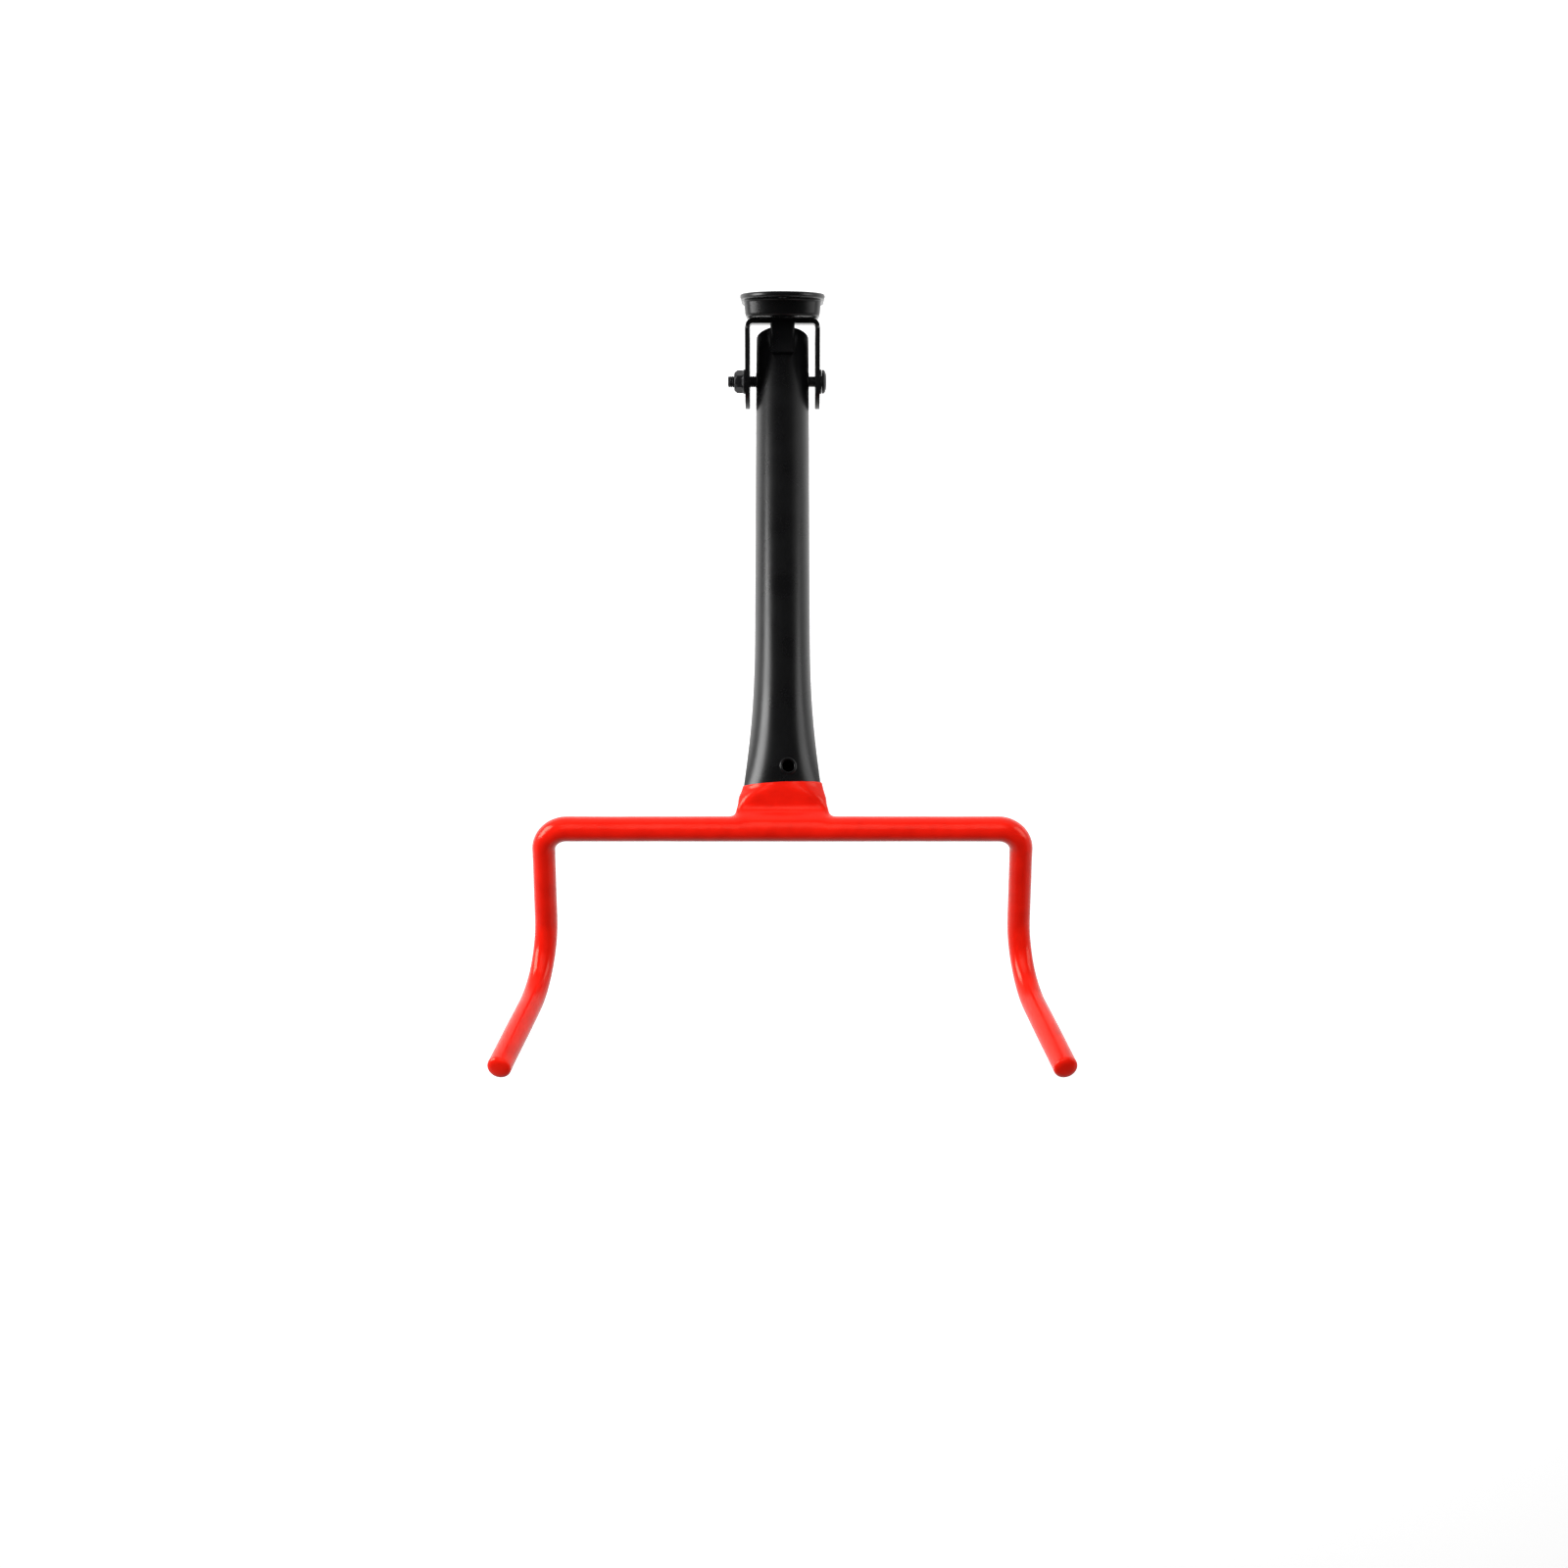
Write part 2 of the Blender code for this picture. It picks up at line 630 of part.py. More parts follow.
def flare_stations(start, end):
    """Gives distances along the tube from start to end, closer together where it is pressed."""
    inner = [FLARE_START + (PRESS_START - FLARE_START) * k / FLARE_STEPS for k in range(FLARE_STEPS)]
    inner += [PRESS_START + PRESS_LENGTH * k / PRESS_STEPS for k in range(PRESS_STEPS + 1)]
    return [start] + [place for place in inner if start < place < end] + [end]


def make_arm_tube(material, parent):
    """Makes the tube with its bore, the two holes for the sleeve and the vent hole in its upper wall."""
    stations = flare_stations(TUBE_START, TUBE_END)
    outer = [tube_loop(place, TUBE_WALL / 2) for place in stations]
    inner = [tube_loop(place, -TUBE_WALL / 2) for place in reversed(stations)]
    loops = outer + inner
    tube = add_object("arm_tube", *skin(loops, ring=True), material=material, parent=parent)
    bore = circle(SLEEVE_RADIUS + GAP, HOLE_SIDES)
    cut(tube, prism("tube_cross_hole", bore, -TUBE_DIAMETER, TUBE_DIAMETER, across, parent=parent))
    vent = circle(VENT_DIAMETER / 2, HOLE_SIDES, VENT_OFFSET, -(TUBE_END - VENT_FROM_TUBE_END))
    cut(tube, prism("tube_vent", vent, 0.0, TUBE_DIAMETER, from_above, parent=parent))
    return tube


# Fork

def rounded_path(corners, radii):
    """Gives points along straight runs between corners, each inner corner turned into an arc."""
    points = [corners[0]]
    for before, corner, after, radius in zip(corners, corners[1:], corners[2:], radii):
        back = (before - corner).normalized()
        ahead = (after - corner).normalized()
        half = back.angle(ahead) / 2
        centre = corner + (back + ahead).normalized() * (radius / math.sin(half))
        start = corner + back * (radius / math.tan(half)) - centre
        end = corner + ahead * (radius / math.tan(half)) - centre
        axis = start.cross(end)
        whole = start.angle(end)
        steps = round(math.degrees(whole) / BEND_STEP_DEG)
        points += [centre + Matrix.Rotation(whole * k / steps, 3, axis) @ start for k in range(steps + 1)]
    points.append(corners[-1])
    return points


def fork_corners(cut_back=0.0):
    """Gives the fork's corners from tip to tip in the arm's frame; cut_back shortens both ends."""
    half = FORK_WIDTH / 2
    drop = math.radians(PRONG_DROP_DEG)
    rise = math.radians(PRONG_RISE_DEG)
    inner = math.radians(PRONG_SPLAY_INNER_DEG)
    outer = math.radians(PRONG_SPLAY_OUTER_DEG)
    bar = Vector((half, -CROSSBAR_REACH, 0.0))
    down = Vector((math.sin(inner), -math.cos(inner) * math.cos(drop), -math.cos(inner) * math.sin(drop)))
    up = Vector((math.sin(outer), -math.cos(outer) * math.cos(rise), math.cos(outer) * math.sin(rise)))
    valley = bar + down * PRONG_DROP_LENGTH
    tip = valley + up * (PRONG_RISE_LENGTH - cut_back)
    right = [tip, valley, bar]
    return [Vector((-p.x, p.y, p.z)) for p in right] + list(reversed(right))


def sweep(name, corners, radius_at, sides, ends, **options):
    """Carries a circle along the fork's path.

    radius_at(point) gives the radius, and ends lists (distance from the end, radius share lost) rings that
    shape both tips.
    """
    path = rounded_path(corners, (VALLEY_RADIUS, CORNER_RADIUS, CORNER_RADIUS, VALLEY_RADIUS))
    middle = [Vector((x, -CROSSBAR_REACH, 0.0)) for x in bar_stations()]
    split = len(path) // 2
    path = path[:split] + middle + path[split:]
    first = (path[1] - path[0]).normalized()
    last = (path[-1] - path[-2]).normalized()
    start = [(path[0] + first * back, radius_at(path[0]) - less) for back, less in reversed(ends)]
    finish_rings = [(path[-1] - last * back, radius_at(path[-1]) - less) for back, less in ends]
    rings = start + [(p, radius_at(p)) for p in path[1:-1]] + finish_rings
    side = Vector((0.0, 0.0, 1.0))
    loops = []
    for number, (centre, radius) in enumerate(rings):
        before = rings[max(number - 1, 0)][0]
        after = rings[min(number + 1, len(rings) - 1)][0]
        tangent = (after - before).normalized()
        side = (side - tangent * side.dot(tangent)).normalized()
        other = tangent.cross(side)
        loop = []
        for k in range(sides):
            angle = 2 * math.pi * k / sides
            loop.append(centre + radius * (math.cos(angle) * side + math.sin(angle) * other))
        loops.append(loop)
    return add_object(name, *skin(loops), **options)


def bar_stations():
    """Gives places along the crossbar: its middle, and just before each corner."""
    straight = FORK_WIDTH / 2 - CORNER_RADIUS - ROD_RADIUS
    return [-straight, 0.0, straight]


def make_fork_rod(material, parent):
    """Makes the bent rod inside the coating."""
    ends = [(ROD_END_CHAMFER, 0.0), (0.0, ROD_END_CHAMFER)]
    corners = fork_corners(COAT_AT_TIP)
    return sweep(
        "fork_rod", corners, lambda point: ROD_RADIUS, ROD_SIDES, ends, material=material, parent=parent
    )


def rod_weld_section(side):
    """Gives a weld bead's section: flat on the tube, hollow against the rod, bowed outside."""
    floor = tube_half_thickness(TUBE_END) + GAP
    hollow = ROD_RADIUS + GAP
    crest_y = ROD_RADIUS - ROD_WELD_OVERLAP
    low = math.asin(floor / hollow)
    high = math.acos((ROD_RADIUS - crest_y) / hollow)
    points = [(-(TUBE_END - ROD_WELD_RUN), floor)]
    for k in range(ARC_STEPS + 1):
        angle = low + (high - low) * k / ARC_STEPS
        points.append((-(CROSSBAR_REACH - hollow * math.cos(angle)), hollow * math.sin(angle)))
    start = Vector(points[-1])
    end = Vector(points[0])
    for k in range(1, ARC_STEPS):
        share = k / ARC_STEPS
        place = start.lerp(end, share)
        points.append((place.x, place.y + ROD_WELD_BULGE * math.sin(math.pi * share)))
    return [(y, side * z) for y, z in points]


def make_rod_welds(material, parent):
    """Makes the beads above and below the joint of the flattened tube and the rod."""
    half = ROD_WELD_LENGTH / 2
    for name, side in (("rod_weld_upper", 1), ("rod_weld_lower", -1)):
        prism(name, rod_weld_section(side), -half, half, across, material=material, parent=parent)


# Dip coating

def prong_share(point):
    """Gives 0 on the crossbar and 1 on the prongs, with an even change round each corner."""
    past = abs(point.x) - (FORK_WIDTH / 2 - CORNER_RADIUS)
    beyond = max(past, 0.0) + max(-CROSSBAR_REACH - point.y, 0.0) + max(-point.z, 0.0)
    return min(beyond / COAT_BLEND_LENGTH, 1.0)


def coat_radius(point):
    """Gives the coating's outer radius at a point of the fork's path."""
    share = prong_share(point)
    return ROD_RADIUS + COAT_ON_BAR * (1 - share) + COAT_ON_PRONG * share


def weld_height():
    """Gives the height of the rod welds above the arm's middle."""
    return max(z for y, z in rod_weld_section(1))


def coat_block_loops():
    """Gives the coating's outer loops round the tube's flattened end, flaring into the crossbar."""
    shoulder = CROSSBAR_REACH - SHOULDER_FROM_BAR
    crest = weld_height() + GAP + COAT_AT_WELD
    outside = TUBE_WALL / 2 + COAT_ON_TUBE
    loops = [tube_loop(DIP_LINE, outside - COAT_RIM_ROUND)]
    stations = [DIP_LINE + COAT_RIM_ROUND]
    stations += [DIP_LINE + (shoulder - DIP_LINE) * (k + 1) / SHOULDER_STEPS for k in range(SHOULDER_STEPS)]
    start = tube_half_width(DIP_LINE) + COAT_ON_TUBE
    for place in stations:
        share = (place - DIP_LINE) / (shoulder - DIP_LINE)
        width = start + (SHOULDER_WIDTH / 2 - start) * share
        widen = width / (tube_half_width(place) + COAT_ON_TUBE)
        thicken = max(crest * share ** 2 / (tube_half_thickness(place) + COAT_ON_TUBE), 1.0)
        loops.append([Vector((p.x * widen, p.y, p.z * thicken)) for p in tube_loop(place, outside)])
    fillet_end = CROSSBAR_REACH - ROD_RADIUS
    for k in range(1, ARC_STEPS):
        angle = math.pi / 2 * k / (ARC_STEPS - 1)
        place = shoulder + (fillet_end - shoulder) * math.sin(angle)
        widen = 1 + 2 * SHOULDER_FILLET * (1 - math.cos(angle)) / SHOULDER_WIDTH
        loops.append([Vector((p.x * widen, -place, p.z)) for p in loops[len(stations)]])
    return loops


def make_fork_coating(material, parent):
    """Makes the coating: an outer skin over rod and tube end, hollowed for the steel inside.

    The hollow opens at the dip line, where the coating ends round the tube.
    """
    angles = [math.pi / 2 * k / TIP_STEPS for k in range(TIP_STEPS + 1)]
    ends = [(COAT_TIP_ROUND * (1 - math.sin(a)), COAT_TIP_ROUND * (1 - math.cos(a))) for a in angles]
    coat = sweep(
        "fork_coating", fork_corners(), coat_radius, COAT_SIDES, ends, material=material, parent=parent
    )
    cut(coat, add_object("coat_block", *skin(coat_block_loops()), parent=parent), "UNION")

    hollow = sweep(
        "coat_rod_hollow",
        fork_corners(COAT_AT_TIP - GAP),
        lambda point: ROD_RADIUS + GAP,
        ROD_SIDES,
        [(0.0, 0.0)],
        parent=parent,
    )
    cut(coat, hollow)

    stations = flare_stations(DIP_LINE - COAT_ON_TUBE, TUBE_END + GAP)
    loops = [tube_loop(place, TUBE_WALL / 2 + GAP) for place in stations]
    cut(coat, add_object("coat_tube_hollow", *skin(loops), parent=parent))

    height = weld_height() + GAP
    low = TUBE_END - ROD_WELD_RUN - GAP
    high = CROSSBAR_REACH - ROD_WELD_OVERLAP + GAP
    pocket = [(-low, -height), (-high, -height), (-high, height), (-low, height)]
    half = ROD_WELD_LENGTH / 2 + GAP
    cut(coat, prism("coat_weld_hollow", pocket, -half, half, across, parent=parent))
    return coat


def add_empty(name, location=(0.0, 0.0, 0.0), pitch=0.0):
    """Makes an empty that carries a group of pieces."""
    empty = bpy.data.objects.new(name, None)
    empty.location = location
    empty.rotation_euler = (pitch, 0.0, 0.0)
    bpy.context.collection.objects.link(empty)
    return empty


def main():
    """Builds the fixed bracket, then the hardware and the arm about the pivot."""
    clear_scene()
    black = finish("black_powder_coat", BLACK_COAT, 0.42, 0.0)
    hardware = finish("dark_hardware", DARK_ZINC, 0.38, 0.85)
    steel = finish("bare_steel", BARE_STEEL, 0.45, 1.0)
    weld = finish("weld_steel", WELD_STEEL, 0.55, 0.9)
    nylon = finish("nylon", NYLON, 0.5, 0.0)
    red = finish("red_dip_coat", RED_DIP, 0.22, 0.0)

    fixed = add_empty("fixed_group")
    make_wall_plate(black, fixed)
    make_bracket_sheet(black, fixed)
    make_plug_welds(weld, fixed)
    make_web_weld(weld, fixed)

    pivot = add_empty("pivot_group", PIVOT)
    make_bolt(hardware, pivot)
    make_washer(hardware, pivot)
    make_nut(hardware, pivot)
    make_insert(nylon, pivot)

    arm = add_empty("arm_group", PIVOT, -ARM_RISE)
    make_sleeve(steel, arm)
    make_arm_tube(black, arm)
    make_fork_rod(steel, arm)
    make_rod_welds(weld, arm)
    make_fork_coating(red, arm)


main()
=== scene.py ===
"""Looks of a folding wall rack for bicycles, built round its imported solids.

Metres, +Z up. The wall is the plane Y = 0, X runs along it, and the arm reaches towards -Y. The arm's own
frame has its origin on the pivot: x across the arm, "along" away from the wall, and "lift" square to both.
"""

import json
import logging
import math
from dataclasses import dataclass, field
from enum import Enum
from functools import reduce
from typing import Any, Iterable, Mapping, Optional, Sequence

import bmesh
import bpy
import numpy as np
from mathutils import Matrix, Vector


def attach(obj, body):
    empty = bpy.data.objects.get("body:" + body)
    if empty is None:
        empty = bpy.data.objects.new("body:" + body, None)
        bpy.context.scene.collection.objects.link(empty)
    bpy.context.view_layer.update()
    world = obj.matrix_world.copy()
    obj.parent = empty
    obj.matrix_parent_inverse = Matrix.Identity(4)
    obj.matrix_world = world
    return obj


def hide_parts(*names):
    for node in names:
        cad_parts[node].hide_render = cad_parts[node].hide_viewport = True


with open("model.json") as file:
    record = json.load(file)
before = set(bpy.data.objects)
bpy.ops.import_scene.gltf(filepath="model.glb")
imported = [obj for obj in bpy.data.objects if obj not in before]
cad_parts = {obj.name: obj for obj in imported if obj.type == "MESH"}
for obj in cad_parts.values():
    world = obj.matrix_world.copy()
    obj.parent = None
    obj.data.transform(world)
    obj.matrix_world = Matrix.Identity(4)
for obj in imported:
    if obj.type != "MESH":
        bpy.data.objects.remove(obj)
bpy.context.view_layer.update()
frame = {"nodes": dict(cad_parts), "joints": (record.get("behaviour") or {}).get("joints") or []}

LOG = logging.getLogger("rack")

Array = np.ndarray
Piece = bpy.types.Object
Socket = bpy.types.NodeSocket
Colour = tuple[float, float, float]
Point = tuple[float, float, float]
Pair = tuple[float, float]

MM = 0.001
QUARTER = math.pi / 2
TURN = 2 * math.pi
WHITE = (1.0, 1.0, 1.0, 1.0)
GAP = 0.3 * MM
PIVOT = np.array(frame["joints"][0]["pos_m"])


class Body(Enum):
    """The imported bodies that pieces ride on."""

    BRACKET = "wall_bracket"
    ARM = "arm"


class Slot(Enum):
    """The record's material slots."""

    BLACK = "black_powder_coat"
    HARDWARE = "dark_hardware"
    STEEL = "bare_steel"
    WELD = "weld_steel"
    NYLON = "nylon"
    RED = "red_dip_coat"


# Shapes

def ease(values: Array) -> Array:
    """Eases 0 to 1. Formula: 3 t^2 - 2 t^3, with t held between 0 and 1."""
    t = np.clip(values, 0.0, 1.0)
    return t * t * (3 - 2 * t)


def unit(vector: Array) -> Array:
    """Scales vectors to a length of one."""
    return vector / np.linalg.norm(vector, axis=-1, keepdims=True)


def turned_about(vector: Array, axis: Array, angles: Array) -> Array:
    """Turns one vector about an axis by many angles.

    Formula: v cos(a) + (axis x v) sin(a) + axis (axis . v) (1 - cos(a)).

    Args:
        vector: the vector to turn.
        axis: unit vector of the axis.
        angles: angles in radians.

    Returns:
        One turned vector for each angle.
    """
    a = angles[:, None]
    return (
        vector * np.cos(a)
        + np.cross(axis, vector) * np.sin(a)
        + axis * np.dot(axis, vector) * (1 - np.cos(a))
    )


def arc_points(centre: Sequence[float], radius: float, start: float, end: float, count: int) -> Array:
    """Gives points of an arc in a plane, both ends included. Formula: centre + radius (cos a, sin a).

    Args:
        centre: the arc's centre.
        radius: its radius.
        start: first angle in degrees.
        end: last angle in degrees.
        count: number of points.

    Returns:
        An array of count rows and 2 columns.
    """
    a = np.radians(np.linspace(start, end, count))
    return np.stack([centre[0] + radius * np.cos(a), centre[1] + radius * np.sin(a)], axis=1)


def circle_points(radius: float, sides: int, centre: Sequence[float]) -> Array:
    """Gives the points of a circle, half a step off its axes. Formula: centre + radius (cos a, sin a)."""
    a = TURN * (np.arange(sides) + 0.5) / sides
    return np.stack([centre[0] + radius * np.cos(a), centre[1] + radius * np.sin(a)], axis=1)


def heading(splay_deg: float, climb_deg: float) -> Array:
    """Gives a direction in the arm's frame. Formula: (sin s, cos s cos c, cos s sin c)."""
    splay, climb = math.radians(splay_deg), math.radians(climb_deg)
    return np.array([math.sin(splay), math.cos(splay) * math.cos(climb), math.cos(splay) * math.sin(climb)])


def blend_least(a: Array, b: Array, reach: float) -> Array:
    """Gives the lesser of two values, eased where they are close.

    Formula: min(a, b) - h^2 reach / 4, with h = max(reach - |a - b|, 0) / reach.

    Args:
        a: first values.
        b: second values.
        reach: how close they are where the easing starts.

    Returns:
        The eased lesser values.
    """
    h = np.clip(reach - np.abs(a - b), 0.0, None) / reach
    return np.minimum(a, b) - h * h * reach / 4


def blend_most(a: Array, b: Array, reach: float) -> Array:
    """Gives the greater of two values, eased where they are close."""
    return -blend_least(-a, -b, reach)


def rounding(radius: float, count: int) -> Array:
    """Gives a quarter round's distances from its two faces. Formula: radius (1 - sin a, 1 - cos a)."""
    a = np.linspace(0.0, QUARTER, count)
    return radius * np.stack([1 - np.sin(a), 1 - np.cos(a)], axis=1)


def add_piece(name: str, points: Array, faces: list) -> Piece:
    """Makes an object from points and faces, its faces turned outwards.

    Args:
        name: the piece's name.
        points: an array of points, 3 columns.
        faces: lists of point numbers.

    Returns:
        The new object, at the origin.
    """
    mesh = bpy.data.meshes.new(name)
    mesh.from_pydata(points.tolist(), [], faces)
    work = bmesh.new()
    work.from_mesh(mesh)
    bmesh.ops.recalc_face_normals(work, faces=work.faces)
    work.to_mesh(mesh)
    work.free()
    piece = bpy.data.objects.new(name, mesh)
    bpy.context.scene.collection.objects.link(piece)
    return piece


def skin(name: str, grid: Array, ring: bool = False) -> Piece:
    """Makes a closed surface from a grid whose columns run round it.

    Args:
        name: the piece's name.
        grid: points, as rows x columns x 3.
        ring: True joins the last row to the first; otherwise each end closes on a point at its middle.

    Returns:
        The new object.
    """
    rows, columns = grid.shape[:2]
    index = np.arange(rows * columns).reshape(rows, columns)
    here = index if ring else index[:-1]
    there = np.roll(index, -1, axis=0) if ring else index[1:]
    quads = np.stack([here, np.roll(here, -1, 1), np.roll(there, -1, 1), there], axis=-1).reshape(-1, 4)
    points = grid.reshape(-1, 3)
    faces = quads.tolist()
    if not ring:
        poles = np.stack([grid[0].mean(axis=0), grid[-1].mean(axis=0)])
        points = np.concatenate([points, poles])
        for pole, row in enumerate((index[0], index[-1])):
            hub = np.full(columns, rows * columns + pole)
            faces += np.stack([row, np.roll(row, -1), hub], axis=-1).tolist()
    return add_piece(name, points, faces)


def bar(name: str, outline: Array, low: float, high: float, axis: int) -> Piece:
    """Extrudes a flat outline between two depths, as a solid with flat ends.

    Args:
        name: the piece's name.
        outline: points of the outline, 2 columns, in the order of the other two axes.
        low: first depth.
        high: last depth.
        axis: the axis of the extrusion, 0 for X, 1 for Y, 2 for Z.

    Returns:
        The new object.
    """
    count = len(outline)
    ends = [np.insert(outline, axis, depth, axis=1) for depth in (low, high)]
    index = np.arange(count)
    after = np.roll(index, -1)
    faces = np.stack([index, after, after + count, index + count], axis=1).tolist()
    faces += [index.tolist(), (index + count).tolist()]
    return add_piece(name, np.concatenate(ends), faces)


def bake_modifiers(piece: Piece) -> None:
    """Turns a piece's modifiers into its mesh."""
    graph = bpy.context.evaluated_depsgraph_get()
    mesh = bpy.data.meshes.new_from_object(piece.evaluated_get(graph))
    piece.modifiers.clear()
    piece.data = mesh


def combine(piece: Piece, tools: Iterable[Piece], operation: str) -> None:
    """Cuts, joins or keeps what tools share with a piece, and removes the tools.

    Args:
        piece: the object that changes.
        tools: the objects that cut it or join it.
        operation: DIFFERENCE, UNION or INTERSECT.
    """
    tools = list(tools)
    for tool in tools:
        step = piece.modifiers.new(tool.name, "BOOLEAN")
        step.operation = operation
        step.solver = "EXACT"
        step.object = tool
    bake_modifiers(piece)
    for tool in tools:
        bpy.data.objects.remove(tool, do_unlink=True)


def soften(piece: Piece, width: float, segments: int, from_deg: float) -> None:
    """Rounds a piece's sharp edges.

    Args:
        piece: the object that changes.
        width: how far each rounding reaches from its edge.
        segments: facets in each rounding.
        from_deg: the least angle of an edge that is rounded.
    """
    bevel = piece.modifiers.new("rounding", "BEVEL")
    bevel.width = width
    bevel.segments = segments
    bevel.limit_method = "ANGLE"
    bevel.angle_limit = math.radians(from_deg)
    bevel.use_clamp_overlap = True
    bake_modifiers(piece)


def smooth(piece: Piece, sharp_deg: float) -> None:
    """Shades a piece smooth, apart from edges sharper than an angle."""
    piece.data.shade_smooth()
    piece.data.set_sharp_from_angle(angle=math.radians(sharp_deg))


# Finishes

class Graph:
    """The node graph of a material or a world, with short calls for what the finishes use."""

    def __init__(self, owner: bpy.types.ID, shader: str = "Principled BSDF") -> None:
        """Starts from the shader node that the owner is made with."""
        owner.use_nodes = True
        self.tree = owner.node_tree
        self.shader = self.tree.nodes[shader]
        self.place = self.tree.nodes.new("ShaderNodeTexCoord").outputs

    def fill(self, node: bpy.types.Node, inputs: Mapping[Any, Any]) -> None:
        """Links or sets a node's inputs.

        Args:
            node: the node.
            inputs: what each input takes, a socket or a value.
        """
        for name, value in inputs.items():
            if isinstance(value, Socket):
                self.tree.links.new(value, node.inputs[name])
            else:
                node.inputs[name].default_value = value

    def add(self, kind: str, output: str, inputs: Mapping[Any, Any], **options: Any) -> Socket:
        """Adds a node.

        Args:
            kind: the end of its type's name.
            output: the output that is wanted.
            inputs: what each input takes, a socket or a value.
            options: the node's own settings.

        Returns:
            The output.
        """
        node = self.tree.nodes.new("ShaderNode" + kind)
        for name, value in options.items():
            setattr(node, name, value)
        self.fill(node, inputs)
        return node.outputs[output]

    def noise(self, size: float, detail: float = 2.0, harshness: float = 0.5) -> Socket:
        """Gives a cloudy pattern.

        Args:
            size: rough size of its spots, in metres.
            detail: how many finer layers it has.
            harshness: how strong those are.

        Returns:
            The pattern's value, from 0 to 1.
        """
        inputs = {"Vector": self.place["Object"], "Scale": 1 / size, "Detail": detail, "Roughness": harshness}
        return self.add("TexNoise", "Fac", inputs)

    def spread(self, value: Socket, low: float, high: float, start: float = 0.3, end: float = 0.7) -> Socket:
        """Maps the range from start to end onto low to high, held between these."""
        inputs = {"Value": value, "From Min": start, "From Max": end, "To Min": low, "To Max": high}
        return self.add("MapRange", "Result", inputs)

    def sum(self, values: Sequence[Socket]) -> Socket:
        """Adds values up, held between 0 and 1."""
        options = {"operation": "ADD", "use_clamp": True}
        return reduce(lambda a, b: self.add("Math", "Value", {0: a, 1: b}, **options), values)

    def mix(self, share: Socket, low: Colour, high: Colour) -> Socket:
        """Mixes two colours by a pattern."""
        inputs = {"A": (*low, 1.0), "B": (*high, 1.0), "Factor": share}
        return self.add("Mix", "Result", inputs, data_type="RGBA")

    def bump(self, height: Socket, depth: float) -> None:
        """Adds a layer of relief over those that the shader has.

        Args:
            height: the pattern.
            depth: its height from low to high, in metres.
        """
        inputs = {"Distance": depth, "Strength": 1.0, "Height": height}
        for link in self.shader.inputs["Normal"].links:
            inputs["Normal"] = link.from_socket
        self.fill(self.shader, {"Normal": self.add("Bump", "Normal", inputs)})


@dataclass(frozen=True)
class Finish:
    """A finish whose cloudy pattern mixes two colours and sets the gloss, over layers of relief.

    Each relief layer is a pattern's size and its depth, and a size of 0 stands for the finish's own pattern.
    """

    dark: Colour
    light: Colour
    roughness: Pair
    size: float
    detail: float = 2.0
    harshness: float = 0.5
    gloss_size: float = 0.0
    relief: tuple[Pair, ...] = ()
    inputs: tuple[tuple[str, Any], ...] = ()

    def make(self, name: str) -> bpy.types.Material:
        """Makes the material.

        Args:
            name: the material's name.

        Returns:
            The material.
        """
        material = bpy.data.materials.new(name)
        graph = Graph(material)
        pattern = graph.noise(self.size, self.detail, self.harshness)
        gloss = graph.noise(self.gloss_size) if self.gloss_size else pattern
        colour = graph.mix(graph.spread(pattern, 0.0, 1.0), self.dark, self.light)
        graph.fill(graph.shader, {"Base Color": colour, "Roughness": graph.spread(gloss, *self.roughness)})
        graph.fill(graph.shader, dict(self.inputs))
        for size, depth in self.relief:
            graph.bump(graph.noise(size) if size else pattern, depth)
        return material


@dataclass(frozen=True)
class PowderCoat(Finish):
    """Black powder coat: satin, with a fine orange peel and faint cloudiness."""

    dark: Colour = (0.0020, 0.0020, 0.0022)
    light: Colour = (0.0042, 0.0042, 0.0045)
    roughness: Pair = (0.25, 0.31)
    size: float = 28 * MM
    detail: float = 4.0
    relief: tuple[Pair, ...] = ((0.9 * MM, 0.012 * MM), (7 * MM, 0.012 * MM))
    inputs: tuple[tuple[str, Any], ...] = (("Specular IOR Level", 0.5),)


@dataclass(frozen=True)
class DipCoat(Finish):
    """Red dip coating: glossy and soft, with slow waves where the liquid ran and set."""

    dark: Colour = (0.800, 0.0095, 0.0034)
    light: Colour = (0.960, 0.0130, 0.0046)
    roughness: Pair = (0.16, 0.24)
    size: float = 14 * MM
    gloss_size: float = 28 * MM
    relief: tuple[Pair, ...] = ((0.0, 0.06 * MM), (2.2 * MM, 0.006 * MM))
    inputs: tuple[tuple[str, Any], ...] = (
        ("IOR", 1.5),
        ("Specular IOR Level", 0.40),
        ("Specular Tint", (1.0, 0.80, 0.60, 1.0)),
    )


@dataclass(frozen=True)
class DarkZinc(Finish):
    """Black zinc on the bolt, nut and washer: dark metal with a faint dullness."""

    dark: Colour = (0.010, 0.010, 0.011)
    light: Colour = (0.028, 0.028, 0.030)
    roughness: Pair = (0.30, 0.46)
    size: float = 1.6 * MM
    detail: float = 5.0
    harshness: float = 0.6
    relief: tuple[Pair, ...] = ((1.6 / 3 * MM, 0.008 * MM),)
    inputs: tuple[tuple[str, Any], ...] = (("Metallic", 0.55), ("Specular IOR Level", 0.6))


@dataclass(frozen=True)
class BareSteel(Finish):
    """Bare drawn steel: grey metal with fine marks."""

    dark: Colour = (0.340, 0.330, 0.320)
    light: Colour = (0.480, 0.470, 0.455)
    roughness: Pair = (0.34, 0.52)
    size: float = 0.8 * MM
    detail: float = 6.0
    harshness: float = 0.65
    relief: tuple[Pair, ...] = ((0.0, 0.006 * MM),)
    inputs: tuple[tuple[str, Any], ...] = (("Metallic", 1.0),)


